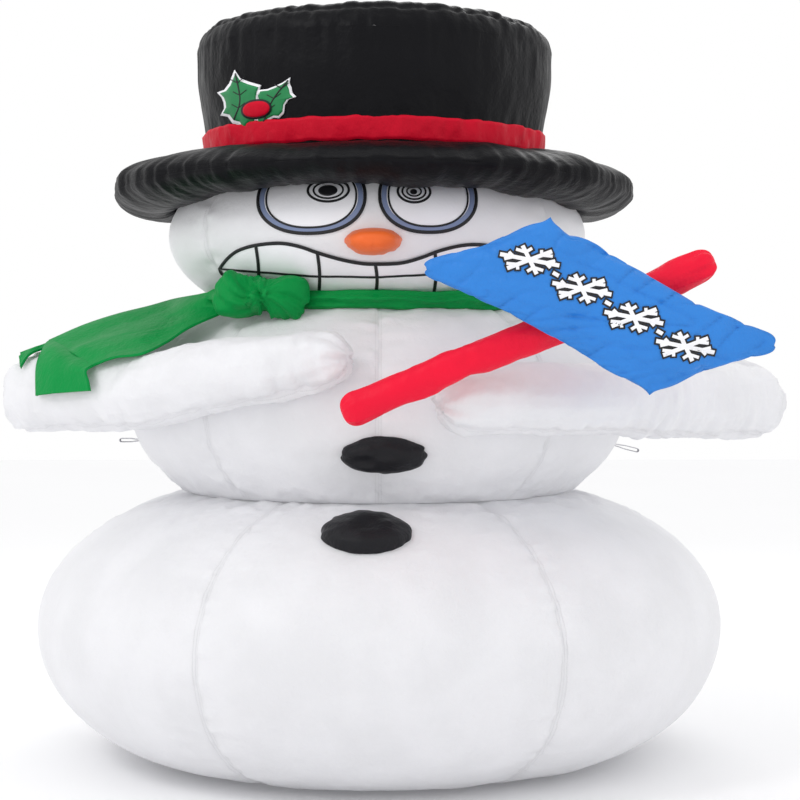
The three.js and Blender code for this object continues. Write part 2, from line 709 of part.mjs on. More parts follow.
function blowerPieces() {
  const inner = blower.barrel - blower.wall;
  const mouth = blower.flange - 4;
  const spokes = [0, 60, 120].map((turn) =>
    bar(2 * inner + 2, 8, 5, -(motor.from + motor.depth + 4)).rotateZ(radians(turn)));
  const hubFrom = -(motor.from + motor.depth + 7);
  const hub = tube(motor.radius + 4, shaft.radius + 1, hubFrom, hubFrom + 6);
  const wall = [
    [inner, -blower.depth], [blower.barrel, -blower.depth], [blower.barrel, 0],
    [blower.flange, 0], [blower.flange, 6], [inner, 6], [inner, -blower.depth],
  ];
  const barrel = latheGeometry(wall.map((p) => new THREE.Vector2(...p)), 24);
  const bore = rod(shaft.radius + 1, -blower.depth - 9, -motor.from);
  const housing = joined([barrel, hub, ...spokes]).subtract(solid(bore));

  const ring = tube(mouth, blower.barrel + gap, -46, -39);
  const bars = [-3, -2, -1, 0, 1, 2, 3].map((i) => {
    const half = Math.sqrt((inner - 9) ** 2 - (i * 20) ** 2);
    return bar(2 * half, 4, 4, -6).translate(0, i * 20, 0);
  });
  const grille = joined([tube(inner - 4, inner - 9, -9, -3), bar(6, 2 * inner - 18, 4, -6), ...bars]);

  const top = -impeller.from;
  const blades = Array.from({ length: impeller.blades }, (_, i) =>
    bar(impeller.radius - 20, 3, impeller.depth, top - impeller.depth / 2)
      .rotateX(radians(24))
      .translate(20 + (impeller.radius - 20) / 2 - 3, 0, 0)
      .rotateZ((2 * Math.PI * i) / impeller.blades));
  const wheel = joined([tube(22, shaft.bore, top - impeller.depth, top), ...blades]);

  const can = rod(motor.radius, -(motor.from + motor.depth), -motor.from).toNonIndexed();
  const motorBody = solid(can).subtract(solid(rod(shaft.bore + 0.5, -motor.from - 12, -motor.from + 1)));
  const spindle = rod(shaft.radius, -motor.from - 10, top + 4);

  const inlet = joined([
    bar(34, 24, 14, 0).translate(0, -blower.flange + 16, 13.3),
    rod(6, 0, 22, 16).rotateX(Math.PI / 2).translate(0, -blower.flange + 8, 13.3),
  ]);
  const parts = [
    mesh('blower_housing', geometryOf(housing), materials.plastic),
    mesh('blower_clamp_ring', ring, materials.plastic),
    mesh('blower_grille', geometryOf(grille), materials.plastic),
    mesh('blower_impeller', geometryOf(wheel), materials.webbing),
    mesh('blower_motor', geometryOf(motorBody), materials.steel),
    mesh('motor_shaft', spindle, materials.steel),
    mesh('power_inlet', geometryOf(inlet), materials.plastic),
  ];
  return toBlowerPlace(group(parts));
}

// ---------- deflation zip ----------

// A point of the zip's own arc: angle up from its middle, distance off the skin, and offset across the tape.
function onZip(angle, off, across) {
  const radius = base.radius - zip.arc + (zip.arc + off) * Math.cos(radians(angle));
  const point = around(radius, zip.angle, zip.middle + (zip.arc + off) * Math.sin(radians(angle)));
  const side = around(1, zip.angle + 90, 0);
  return point.addScaledVector(side, across);
}

function zipperTape() {
  const rows = 12;
  const geometry = sheetGeometry(rows, 2, (row, column, side) => {
    const across = lerp(-0.5, 0.5, column / 2) * zip.width;
    return onZip(lerp(zip.foot, zip.top, row / rows), side === 0 ? 2.4 : 0.9, across);
  });
  return mesh('zipper_tape', geometry, materials.zipper);
}

// The slider sits at the top of the tape, where the zip is closed.
const sliderAngle = zip.top - 4;

function zipBlock(name, angle, lift, size, drop, material) {
  const geometry = new THREE.BoxGeometry(size.height, size.width, size.length);
  geometry.translate(size.height / 2 + lift, 0, drop);
  geometry.rotateY(-radians(angle));
  geometry.rotateZ(radians(zip.angle - 90));
  const seat = onZip(angle, 0, 0);
  return mesh(name, tidy(geometry.translate(seat.x, seat.y, seat.z)), material);
}

function zipperPieces() {
  const body = zipBlock('zipper_slider', sliderAngle, 3.2, slider, 0, materials.steel);
  const hang = -pull.length / 2 + 2;
  const tab = zipBlock('zipper_pull', sliderAngle, 3.2 + slider.height + 1.4, pull, hang, materials.steel);
  return [zipperTape(), body, tab];
}

// ---------- lights inside ----------

function skinRadius(z) {
  if (z < base.middle) {
    return base.floorRadius + (base.radius - base.floorRadius) * Math.sqrt(1 - (1 - z / base.middle) ** 2);
  }
  if (z < base.waist) {
    const level = (z - base.middle) / base.topRise;
    return base.neckRadius + (base.radius - base.neckRadius) * Math.sqrt(1 - level * level);
  }
  const ball = z < torso.neck ? torso : head;
  return ball.radius * Math.sqrt(1 - ((z - ball.middle) / ball.rise) ** 2);
}

function leadPath() {
  const heights = [
    345, 420, 500, 570, 620, base.waist, 690, 760, 864, 960, 1040, 1090, torso.neck, 1155, 1220, 1300,
  ];
  const points = heights.map((z) => {
    const tight = Math.exp(-(((z - base.waist) / 60) ** 2)) + Math.exp(-(((z - torso.neck) / 45) ** 2));
    return new THREE.Vector3(0, skinRadius(z) - lead.clearance - lead.radius - 22 * tight, z);
  });
  return new THREE.CatmullRomCurve3(points, false, 'centripetal');
}

function lights() {
  const path = leadPath();
  const outline = new THREE.Shape();
  outline.absarc(0, 0, lead.radius, 0, 2 * Math.PI, false);
  const wire = new THREE.ExtrudeGeometry(outline, { steps: 30, extrudePath: path, curveSegments: 4 });
  const pieces = [mesh('light_lead', tidy(wire), materials.lead)];
  const names = ['lamp_low', 'lamp_middle', 'lamp_high'];
  lampHeights.forEach((z, i) => {
    const profile = [[0, -20], [13, -20], [16, -8], [22, 4], [24, 22], [18, 38], [0, 44]];
    const globe = latheGeometry(profile.map((p) => new THREE.Vector2(...p)), 16);
    const y = Math.min(...path.getPoints(200).filter((p) => Math.abs(p.z - z) < 50).map((p) => p.y));
    pieces.push(mesh(names[i], globe.translate(0, y - lead.radius - 25, z), materials.lamp));
  });
  return pieces;
}

// ---------- the whole snowman ----------

const upperButton = { at: [7, -592, 771], slope: -9 };
const lowerButton = { at: [-30, -668, 593], slope: 60, height: 166 };

const snowman = group([
  group(basePanels()),
  group(torsoPanels(), torso.x),
  group([...headPanels(), eyePatch('eye_patch_left', eye.left), eyePatch('eye_patch_right', eye.right),
    mouthPatch()], head.x),
  group([
    crownPanel('hat_crown_front', -90), crownPanel('hat_crown_back', 90), crownTop(), hatBrim(), hatBand(),
    ...hollyPieces()], hat.x),
  carrotNose(),
  stuffedButton('button_upper', upperButton.at, upperButton.slope, button.height, torsoTrim),
  stuffedButton('button_lower', lowerButton.at, lowerButton.slope, lowerButton.height, baseTrim),
  armSleeve('arm_sleeve_left', leftArm),
  armSleeve('arm_sleeve_right', rightArm),
  signBoard(),
  signPost(),
  group([scarfNeckBand()], torso.x),
  scarfKnot(),
  scarfTail(),
  scarfTailEnd(),
  scarfUnderTail(),
  tetherTab('tether_tab_left', -1, tether.left),
  tetherTab('tether_tab_right', 1, tether.right),
  stakeLoop('stake_loop_side_right', baseSeams[2], 0),
  stakeLoop('stake_loop_side_left', baseSeams[5], 0),
  stakeLoop('stake_loop_back_right', baseSeams[3], 90),
  stakeLoop('stake_loop_back_left', baseSeams[4], 90),
  blowerPieces(),
  ...zipperPieces(),
  ...lights(),
]);

export default snowman;
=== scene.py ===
import json
import math

import bmesh
import bpy
import numpy as np
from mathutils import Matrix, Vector
from mathutils.bvhtree import BVHTree


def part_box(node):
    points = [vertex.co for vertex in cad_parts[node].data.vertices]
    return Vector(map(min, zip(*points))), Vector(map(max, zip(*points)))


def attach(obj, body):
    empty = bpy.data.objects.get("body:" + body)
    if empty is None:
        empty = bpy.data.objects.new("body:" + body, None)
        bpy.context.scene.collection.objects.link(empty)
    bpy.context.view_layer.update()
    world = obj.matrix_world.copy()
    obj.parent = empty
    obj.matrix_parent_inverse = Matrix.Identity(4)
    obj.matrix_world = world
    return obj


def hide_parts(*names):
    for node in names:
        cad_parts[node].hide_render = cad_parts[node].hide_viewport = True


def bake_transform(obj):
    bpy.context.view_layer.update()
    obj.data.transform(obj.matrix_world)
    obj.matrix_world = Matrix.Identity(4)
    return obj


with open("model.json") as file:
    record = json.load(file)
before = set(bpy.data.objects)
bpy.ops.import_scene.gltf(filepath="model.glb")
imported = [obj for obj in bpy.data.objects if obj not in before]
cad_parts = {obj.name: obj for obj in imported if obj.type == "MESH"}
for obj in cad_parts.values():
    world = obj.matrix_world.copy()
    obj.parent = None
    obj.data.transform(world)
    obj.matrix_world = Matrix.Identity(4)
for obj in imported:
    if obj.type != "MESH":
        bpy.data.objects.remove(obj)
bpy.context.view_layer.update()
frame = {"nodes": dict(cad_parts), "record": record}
ROOT = "snowman"

# The inflatable yard snowman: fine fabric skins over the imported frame. Metres, +Z up, face towards -Y.
# Angles round the balls are degrees from the front towards +X.


# ---------- sizes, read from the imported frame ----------

def span(*names):
    """Lowest and highest corner of several CAD nodes together."""
    boxes = [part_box(name) for name in names]
    low = np.min([tuple(b[0]) for b in boxes], axis=0)
    high = np.max([tuple(b[1]) for b in boxes], axis=0)
    return low, high


def joint_of(name):
    return next(j for j in frame["record"]["behaviour"]["joints"] if j["name"] == name)


def joint_place(name):
    return np.array(joint_of(name)["pos_m"])


BASE_GORES = ["base_gore_front", "base_gore_front_right", "base_gore_back_right", "base_gore_back",
              "base_gore_back_left", "base_gore_front_left"]
TORSO_GORES = ["torso_gore_front_left", "torso_gore_front_right", "torso_gore_side_right",
               "torso_gore_back_right", "torso_gore_back_left", "torso_gore_side_left"]
HEAD_GORES = ["head_face_panel", "head_gore_right", "head_gore_back", "head_gore_left"]
BASE_SEAMS = [-28, 28, 90, 152, 208, 270]
TORSO_SEAMS = [-40, 0, 40, 90, 180, 270]
HEAD_SEAMS = [-52, 52, 128, 232]

base_high = span(*BASE_GORES)[1]
torso_low, torso_high = span(*TORSO_GORES)
head_low, head_high = span(*HEAD_GORES)
crown_low, crown_high = span("hat_crown_front", "hat_crown_back")
top_low, top_high = span("hat_crown_top")
band_low, band_high = span("hat_band")
ring_low, ring_high = span("scarf_neck_band")

BASE_RADIUS, BASE_MIDDLE, BASE_RISE = 0.854, 0.330, 0.328
FLOOR_RADIUS, NECK_RADIUS = 0.445, 0.381
WAIST = base_high[2]
TORSO_X = (torso_low[0] + torso_high[0]) / 2
TORSO_RADIUS, TORSO_MIDDLE, TORSO_RISE = 0.625, 0.864, 0.325
HEAD_X = (head_low[0] + head_high[0]) / 2
HEAD_RADIUS, HEAD_MIDDLE, HEAD_RISE = 0.521, 1.291, 0.2415
NECK = torso_high[2]
HAT_X = (crown_low[0] + crown_high[0]) / 2
HAT_FOOT = crown_low[2]
HAT_RADIUS = (crown_high[0] - crown_low[0]) / 2
HAT_SHOULDER = top_low[2]
HAT_TOP = top_high[2]


# ---------- noise and small maths ----------

def noise(seed, *place):
    """Smooth noise from -1 to 1 at three coordinates, which may be arrays."""
    points = np.stack(np.broadcast_arrays(*place), axis=-1)
    cell = np.floor(points).astype(np.int64)
    part = points - cell
    part = part ** 3 * (part * (part * 6 - 15) + 10)
    total = np.zeros(points.shape[:-1])
    for corner in range(8):
        step = np.array([corner & 1, (corner >> 1) & 1, (corner >> 2) & 1])
        key = (cell + step) & 0xFFFF
        mix = ((key[..., 0] * 73856093) ^ (key[..., 1] * 19349663) ^ (key[..., 2] * 83492791)
               ^ (seed * 2654435))
        mix = (mix ^ (mix >> 13)) & 0xFFFFFFF
        mix = (mix * 60493 + 19990303) & 0xFFFFFFF
        mix = (mix ^ (mix >> 9)) & 0xFFFF
        weight = np.prod(np.where(step == 1, part, 1 - part), axis=-1)
        total += weight * (mix / 32767.5 - 1)
    return total


def ridges(value):
    """Thin crests, 0 to 1, where smooth noise passes through zero: creases with flat cloth between them."""
    return (1 - np.abs(value)) ** 4


def hill(value, width):
    """1 at zero, falling smoothly to 0 a few widths away."""
    return np.exp(-(value / width) ** 2)


def smooth(low, high, value):
    t = np.clip((value - low) / (high - low), 0, 1)
    return t * t * (3 - 2 * t)


def wrap(degrees):
    return (np.asarray(degrees) + 180) % 360 - 180


def unit(vectors):
    return vectors / np.linalg.norm(vectors, axis=-1, keepdims=True)


def run_along(points):
    """Distance from the first point, at each point of a line."""
    return np.concatenate([[0], np.cumsum(np.linalg.norm(np.diff(points, axis=0), axis=1))])


def right_of(outline, run):
    """Unit vectors square to an outline of (across, up) points, on its right hand side."""
    along = np.gradient(outline, run, axis=0)
    return unit(np.stack([along[:, 1], -along[:, 0]], axis=1))


def side_and_up(along):
    """Two directions square to a run: one level, and one as near upright as it can be."""
    side = unit(np.cross(along, [0.0, 0.0, 1.0]))
    return side, np.cross(side, along)


def about(x, radius, turn, height):
    """Points at a radius round the upright line at x, turned from the front towards +X."""
    return np.stack(np.broadcast_arrays(x + radius * np.sin(turn), -radius * np.cos(turn), height), axis=-1)


def full_turn(count):
    return np.linspace(0, 2 * np.pi, count, endpoint=False)


def rows_and_turns(rows, count):
    """Two grids for a closed skin: the row values, and the turns in radians."""
    return np.meshgrid(rows, full_turn(count), indexing="ij")


def catmull(points, count):
    """Points along a smooth curve through the given ones, evenly spaced."""
    points = [np.array(p, float) for p in points]
    ends = [2 * points[0] - points[1]] + points + [2 * points[-1] - points[-2]]
    fine = []
    for i in range(len(points) - 1):
        a, b, c, d = ends[i:i + 4]
        for t in np.linspace(0, 1, 40, endpoint=False):
            fine.append(0.5 * (2 * b + (c - a) * t + (2 * a - 5 * b + 4 * c - d) * t ** 2
                               + (3 * b - a - 3 * c + d) * t ** 3))
    fine = np.array(fine + [points[-1]])
    run = run_along(fine)
    want = np.linspace(0, run[-1], count)
    return np.stack([np.interp(want, run, fine[:, k]) for k in range(fine.shape[1])], axis=1)


# ---------- materials ----------

def linear(red, green, blue):
    """A colour given as 0 to 255 screen values, as the shader wants it."""
    def one(value):
        value /= 255
        return value / 12.92 if value <= 0.04045 else ((value + 0.055) / 1.055) ** 2.4
    return (one(red), one(green), one(blue), 1.0)


def scaled(colour, by):
    return tuple(min(c * by, 1.0) for c in colour[:3]) + (1.0,)


class Nodes:
    """Short calls for building a material's node tree."""

    def __init__(self, name):
        self.material = bpy.data.materials.new(name)
        self.material.use_nodes = True
        self.tree = self.material.node_tree

    def put(self, node, sockets):
        for socket, value in sockets.items():
            if isinstance(value, bpy.types.NodeSocket):
                self.tree.links.new(value, node.inputs[socket])
            else:
                node.inputs[socket].default_value = value

    def add(self, kind, sockets, output, **values):
        """Makes a node with its properties and sockets set, and gives one of its outputs."""
        node = self.tree.nodes.new(kind)
        for key, value in values.items():
            setattr(node, key, value)
        self.put(node, sockets)
        return node.outputs[output]

    def shade(self, sockets):
        self.put(self.tree.nodes["Principled BSDF"], sockets)

    def position(self):
        return self.add("ShaderNodeTexCoord", {}, "Object")

    def math(self, operation, a, b=0.0):
        return self.add("ShaderNodeMath", {0: a, 1: b}, 0, operation=operation)

    def noise(self, scale, detail=2, stretch=(1, 1, 1), rough=0.5):
        place = self.add("ShaderNodeMapping", {"Vector": self.position(), "Scale": stretch}, 0)
        sockets = {"Vector": place, "Scale": scale, "Detail": detail, "Roughness": rough}
        return self.add("ShaderNodeTexNoise", sockets, "Fac")

    def wave(self, scale, direction):
        return self.add("ShaderNodeTexWave", {"Vector": self.position(), "Scale": scale}, "Fac",
                        wave_type="BANDS", bands_direction=direction)

    def attribute(self, name):
        return self.add("ShaderNodeAttribute", {}, "Fac", attribute_name=name)

    def mix(self, factor, a, b):
        return self.add("ShaderNodeMix", {0: factor, 6: a, 7: b}, 2, data_type="RGBA")

    def step(self, value, low, high):
        return self.add("ShaderNodeMapRange", {"Value": value, "From Min": low, "From Max": high}, "Result",
                        interpolation_type="SMOOTHSTEP")

    def near(self, value, low, high):
        return self.math("SUBTRACT", 1.0, self.step(value, low, high))

    def between(self, value, low, high):
        return self.add("ShaderNodeMapRange", {"Value": value, "To Min": low, "To Max": high}, "Result")

    def bump(self, height, distance, strength, under=None):
        sockets = {"Height": height, "Distance": distance, "Strength": strength}
        if under is not None:
            sockets["Normal"] = under
        return self.add("ShaderNodeBump", sockets, "Normal")


def cloth_material(name, colour, rough=0.5, sheen=0.0, coat=0.0, crinkle=0.0012, seams=False, translucency_and_painted_glow=0.0,
                   shine=0.4):
    """Thin coated polyester: a fine plain weave, soft crinkles, and stitching beside sewn seams."""
    n = Nodes(name)
    shade = n.mix(n.step(n.noise(7, 3), 0.3, 0.7), scaled(colour, 0.965), scaled(colour, 1.03))
    weave = n.math("MULTIPLY", n.math("ADD", n.wave(500, "X"), n.wave(500, "Z")), 0.5)
    normal = n.bump(n.noise(26, 4, (1, 1, 0.7), 0.62), crinkle * 5, 0.55)
    normal = n.bump(n.noise(110, 3, rough=0.6), crinkle * 1.1, 0.5, normal)
    normal = n.bump(weave, 0.00012, 0.35, normal)
    if seams:
        distance = n.attribute("seam")
        line = n.near(distance, 0.0004, 0.0016)
        groove = n.near(distance, 0.0, 0.007)
        beside = n.near(n.math("ABSOLUTE", n.math("SUBTRACT", distance, 0.0065)), 0.0006, 0.0012)
        dash = n.step(n.math("FRACT", n.math("MULTIPLY", n.attribute("run"), 220.0)), 0.25, 0.45)
        thread = n.math("MULTIPLY", beside, dash)
        shade = n.mix(n.math("MULTIPLY", line, 0.2), shade, scaled(colour, 0.75))
        shade = n.mix(n.math("MULTIPLY", thread, 0.35), shade, scaled(colour, 0.7))
        normal = n.bump(n.math("MULTIPLY", n.noise(240), groove), 0.0016, 0.6, normal)
        normal = n.bump(thread, 0.0006, 0.8, normal)
    n.shade({
        "Base Color": shade, "Normal": normal,
        "Roughness": n.between(n.step(n.noise(14), 0.25, 0.75), rough - 0.05, rough + 0.07),
        "Sheen Weight": sheen, "Sheen Roughness": 0.45,
        "Coat Weight": coat, "Coat Roughness": 0.35,
        "Specular IOR Level": shine,
    })
    # Subsurface gives the cloth real translucency; the emission in the cloth's own colour is a painted glow
    # that lifts the shade in its creases.
    if translucency_and_painted_glow:
        n.shade({"Subsurface Weight": translucency_and_painted_glow, "Subsurface Radius": (0.04, 0.04, 0.042), "Subsurface Scale": 1.0,
                 "Emission Color": colour, "Emission Strength": translucency_and_painted_glow / 2})
    return n.material


def solid_material(name, colour, rough, grain=0.0004, metal=0.0):
    """Moulded plastic or metal with a fine surface texture and slight tone changes."""
    n = Nodes(name)
    n.shade({
        "Base Color": n.mix(n.noise(18, 3), scaled(colour, 0.85), scaled(colour, 1.15)),
        "Normal": n.bump(n.noise(900), grain, 0.5),
        "Roughness": n.between(n.noise(45, 3), rough - 0.08, rough + 0.08),
        "Metallic": metal,
    })
    return n.material


def webbing_material(name, colour):
    """Woven strap: ribs across its width and a herringbone of yarns."""
    n = Nodes(name)
    height = n.math("MULTIPLY", n.math("ADD", n.wave(190, "DIAGONAL"), n.wave(330, "Y")), 0.5)
    n.shade({
        # The colour darkens with the weave's height towards its low parts: painted shade in the grooves.
        "Base Color": n.mix(height, scaled(colour, 0.7), scaled(colour, 1.05)),
        "Normal": n.bump(height, 0.0006, 0.8),
        "Roughness": 0.85, "Sheen Weight": 0.2,
    })
    return n.material


def print_material(name, colour, sheen, rough=0.55):
    return cloth_material(name, colour, rough, sheen, 0.05, 0.0006)


WHITE = linear(220, 220, 223)
MATERIALS = {
    # White cloth and sleeves: real subsurface translucency plus a painted glow from emission.
    "white": cloth_material("cloth_white", WHITE, sheen=0.08, coat=0.08, seams=True, translucency_and_painted_glow=0.2),
    "sleeve": cloth_material("cloth_sleeve", WHITE, sheen=0.08, coat=0.08, translucency_and_painted_glow=0.2),
    "black": cloth_material("cloth_black", linear(10, 10, 14), 0.42, crinkle=0.0016, seams=True, shine=0.12),
    "red": cloth_material("cloth_red", linear(208, 8, 42), 0.48, shine=0.12),
    "post_red": cloth_material("cloth_post_red", linear(236, 12, 52), 0.46, crinkle=0.0016, shine=0.2),
    "green": cloth_material("cloth_green", linear(3, 142, 66), crinkle=0.0022, shine=0.12),
    "blue": cloth_material("cloth_blue", linear(42, 128, 214), 0.42, crinkle=0.0026, seams=True, shine=0.35),
    "orange": cloth_material("cloth_orange", linear(238, 104, 34), sheen=0.1, coat=0.06),
    "button": cloth_material("cloth_button", linear(24, 24, 28), 0.46, crinkle=0.0018, shine=0.2),
    "print": print_material("print_white", linear(244, 244, 248), 0.05),
    "ink": print_material("print_black", linear(22, 22, 26), 0.03),
    "slate": print_material("print_slate", linear(120, 134, 168), 0.03),
    "leaf": print_material("print_leaf", linear(24, 132, 74), 0.05, 0.52),
    "webbing": webbing_material("webbing", linear(216, 216, 222)),
    "zipper": webbing_material("zip_tape", linear(206, 208, 214)),
    "plastic": solid_material("moulded_black", linear(34, 36, 40), 0.55),
    "impeller": solid_material("moulded_grey", linear(206, 206, 212), 0.4),
    "steel": solid_material("brushed_steel", linear(184, 186, 190), 0.34, 0.0002, 1.0),
    "lamp": solid_material("lamp_cap", linear(240, 244, 252), 0.3),
    "lead": solid_material("lead_jacket", linear(226, 226, 230), 0.55),
}


# ---------- meshes ----------

def new_mesh(name, vertices, faces, material, attributes=None):
    """A smooth-shaded mesh, with optional per-point numbers."""
    data = bpy.data.meshes.new(name)
    data.from_pydata([tuple(v) for v in vertices], [], faces)
    for key, values in (attributes or {}).items():
        layer = data.attributes.new(key, "FLOAT", "POINT")
        layer.data.foreach_set("value", np.asarray(values, np.float32))
    data.polygons.foreach_set("use_smooth", [True] * len(data.polygons))
    data.materials.append(MATERIALS[material])
    piece = bpy.data.objects.new(name, data)
    bpy.context.scene.collection.objects.link(piece)
    return piece


def new_piece(name, vertices, faces, material, node=None, body=ROOT, slot=None, attributes=None):
    """A mesh that rides on a body, and stands for a CAD node when one is given; the slot is not used."""
    piece = new_mesh(name, vertices, faces, material, attributes)
    if body:
        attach(piece, body)
    if node:
        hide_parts(node)
    return piece


def grid_faces(rows, columns, closed=False, looped=False):
    """Faces of a grid of points; closed joins the last column to the first, and looped the last row too."""
    faces = []
    for i in range(rows if looped else rows - 1):
        k = (i + 1) % rows * columns
        for j in range(columns if closed else columns - 1):
            m = (j + 1) % columns
            faces.append((i * columns + j, i * columns + m, k + m, k + j))
    return faces


def grid_piece(name, points, material, node, closed=False, flip=False, keep=None, attributes=None):
    """A skin over a grid of points; keep leaves out the faces that have a point that isn't kept."""
    faces = grid_faces(*points.shape[:2], closed)
    if keep is not None:
        flat = keep.reshape(-1)
        faces = [f for f in faces if all(flat[i] for i in f)]
    if flip:
        faces = [f[::-1] for f in faces]
    flat_attributes = {k: v.reshape(-1) for k, v in (attributes or {}).items()}
    return new_piece(name, points.reshape(-1, 3), faces, material, node, attributes=flat_attributes)


def joined(parts):
    """The vertices and faces of several shapes as one."""
    vertices, faces = [], []
    for part_vertices, part_faces in parts:
        start = len(vertices)
        vertices.extend(part_vertices)
        faces.extend([tuple(i + start for i in f) for f in part_faces])
    return vertices, faces


def joined_piece(name, parts, material, node=None, body=ROOT, slot=None):
    return new_piece(name, *joined(parts), material, node, body, slot)


def with_ends(faces, rows, columns):
    """Closes both ends of a closed skin with one face each."""
    last = (rows - 1) * columns
    return faces + [tuple(range(columns))[::-1], tuple(last + i for i in range(columns))]


def surface_area(piece):
    return sum(p.area for p in piece.data.polygons)


# ---------- the three balls ----------

def ellipse_arc(centre, height, a, b, low, high, count):
    t = np.linspace(math.radians(low), math.radians(high), count)
    return np.stack([centre + a * np.cos(t), height + b * np.sin(t)], axis=1)


def level_angle(middle, rise, height):
    return math.degrees(math.asin((height - middle) / rise))


class Ball:
    """A sewn ball: an outline turned about its axis, with seams, puckers and folds at both ends."""

    def __init__(self, x, outline, seams, bulge, seed, foot_folds, top_folds):
        self.x = x
        self.outline = outline
        self.seams = np.array(seams, float)
        self.bulge = bulge
        self.seed = seed
        self.run = run_along(outline)
        self.length = self.run[-1]
        self.girth = outline[:, 0].max()
        self.normal = right_of(outline, self.run)
        self.folds = [(0.0, *foot_folds), (self.length, *top_folds)]

    def profile(self, s):
        """Radius, height and the two parts of the outward direction at a distance along the outline."""
        s = np.clip(s, 0, self.length)
        tables = (self.outline[:, 0], self.outline[:, 1], self.normal[:, 0], self.normal[:, 1])
        return [np.interp(s, self.run, table) for table in tables]

    def seam_distance(self, theta, radius):
        """Distance to the nearest seam, which gore this is, and how far across it, 0 to 1."""
        theta = np.asarray(theta, float)
        gaps = np.stack([np.abs(wrap(theta - seam)) for seam in self.seams])
        near = np.radians(gaps.min(axis=0)) * radius
        start = (theta - self.seams[0]) % 360
        edges = np.append(self.seams - self.seams[0], 360.0)
        gore = np.clip(np.searchsorted(edges, start, side="right") - 1, 0, len(self.seams) - 1)
        across = (start - edges[gore]) / (edges[gore + 1] - edges[gore])
        return near, gore, np.clip(across, 0, 1)

    def relief(self, theta, s):
        """How far the cloth stands off the plain outline, in metres."""
        radius, height, _, _ = self.profile(s)
        near, gore, across = self.seam_distance(theta, radius)
        side = np.sign(across - 0.5)
        x, y = np.sin(np.radians(theta)), np.cos(np.radians(theta))
        swell = self.bulge * (np.sin(np.pi * across) ** 0.6 - 0.55) * radius / self.girth
        pinch = -0.0032 * hill(near, 0.012)
        reach = 0.45 + 0.55 * noise(self.seed + 5, s / 0.11, gore * 3.1, side)
        pucker = noise(self.seed, s / 0.021, near / 0.11, gore * 7.3 + side * 2.1 + 11)
        pucker = 0.0066 * np.exp(-near / (0.035 + 0.03 * reach)) * pucker * smooth(0, 0.009, near)
        around = np.maximum(radius, 0.2)
        folds = 0
        for where, depth, width, pitch in self.folds:
            wide = noise(self.seed + 1, x * around / pitch, y * around / pitch, s / 0.4 + where)
            pitch = pitch * 0.45
            tight = noise(self.seed + 2, x * around / pitch, y * around / pitch, s / 0.2)
            folds = folds + depth * np.exp(-(np.abs(s - where) / width) ** 1.2) * (wide + 0.5 * tight)
        x, y = x * radius, -y * radius
        broad = 0.0035 * noise(self.seed + 3, x / 0.27, y / 0.27, height / 0.27)
        soft = 0.0013 * noise(self.seed + 4, x / 0.085, y / 0.085, height / 0.12)
        held = smooth(-0.004, 0.03, s) * smooth(-0.004, 0.03, self.length - s)
        return (swell + pinch + pucker + folds + broad + soft) * held

    def at(self, theta, s, lift=0.0):
        theta, s = np.broadcast_arrays(np.asarray(theta, float), np.asarray(s, float))
        radius, height, out, up = self.profile(s)
        off = lift + self.relief(theta, s)
        return about(self.x, radius + out * off, np.radians(theta), height + up * off)

    def run_at_height(self, z):
        return np.interp(z, self.outline[:, 1], self.run)

    def front(self, x, z, lift):
        """The point of the front skin at x and height z, lifted off the cloth."""
        x, z = np.broadcast_arrays(np.asarray(x, float), np.asarray(z, float))
        s = self.run_at_height(z)
        theta = np.zeros_like(x)
        for _ in range(4):
            radius, _, out, _ = self.profile(s)
            reach = radius + out * (self.relief(theta, s) + lift)
            theta = np.degrees(np.arcsin(np.clip((x - self.x) / reach, -0.999, 0.999)))
        return self.at(theta, s, lift)


def arc_between(radius, middle, rise, low, high, count):
    """The outline of a ball that is cut off level at two heights."""
    return ellipse_arc(0, middle, radius, rise, level_angle(middle, rise, low),
                       level_angle(middle, rise, high), count)


base_outline = np.concatenate([
    ellipse_arc(FLOOR_RADIUS, BASE_MIDDLE, BASE_RADIUS - FLOOR_RADIUS, BASE_MIDDLE, -90, 0, 120),
    ellipse_arc(NECK_RADIUS, BASE_MIDDLE, BASE_RADIUS - NECK_RADIUS, BASE_RISE, 0,
                level_angle(BASE_MIDDLE, BASE_RISE, WAIST), 120)[1:],
])
torso_outline = arc_between(TORSO_RADIUS, TORSO_MIDDLE, TORSO_RISE, WAIST, NECK, 200)
head_outline = arc_between(HEAD_RADIUS, HEAD_MIDDLE, HEAD_RISE, NECK, head_high[2], 160)
# Folds at each end are given as depth, how far they reach, and the pitch between them.
base_ball = Ball(0.0, base_outline, BASE_SEAMS, 0.012, 11, (0.004, 0.08, 0.04), (0.0075, 0.13, 0.034))
torso_ball = Ball(TORSO_X, torso_outline, TORSO_SEAMS, 0.009, 23, (0.006, 0.10, 0.03), (0.005, 0.09, 0.03))
head_ball = Ball(HEAD_X, head_outline, HEAD_SEAMS, 0.007, 37, (0.004, 0.06, 0.03), (0.0035, 0.05, 0.03))

FAN_HEIGHT, FAN_BARREL, FAN_FLANGE, FAN_DEPTH = 0.215, 0.084, 0.112, 0.128


def make_gores(ball, names, pitch):
    """One piece of cloth for each gore, from seam to seam."""
    for index, name in enumerate(names):
        start = ball.seams[index]
        width = (ball.seams[(index + 1) % len(names)] - start) % 360
        widest = math.radians(width) * ball.girth
        columns = max(24, int(widest / pitch))
        theta, s = np.meshgrid(np.linspace(start, start + width, columns),
                               np.linspace(0, ball.length, int(ball.length / pitch)))
        points = ball.at(theta, s)
        points[..., 2] = np.maximum(points[..., 2], 0.0004)
        near = ball.seam_distance(theta, ball.profile(s)[0])[0]
        keep = None
        if name == "base_gore_back":
            points, keep = around_blower(points)
        piece = grid_piece("skin_" + name, points, "white", name, keep=keep,
                           attributes={"seam": near, "run": s})


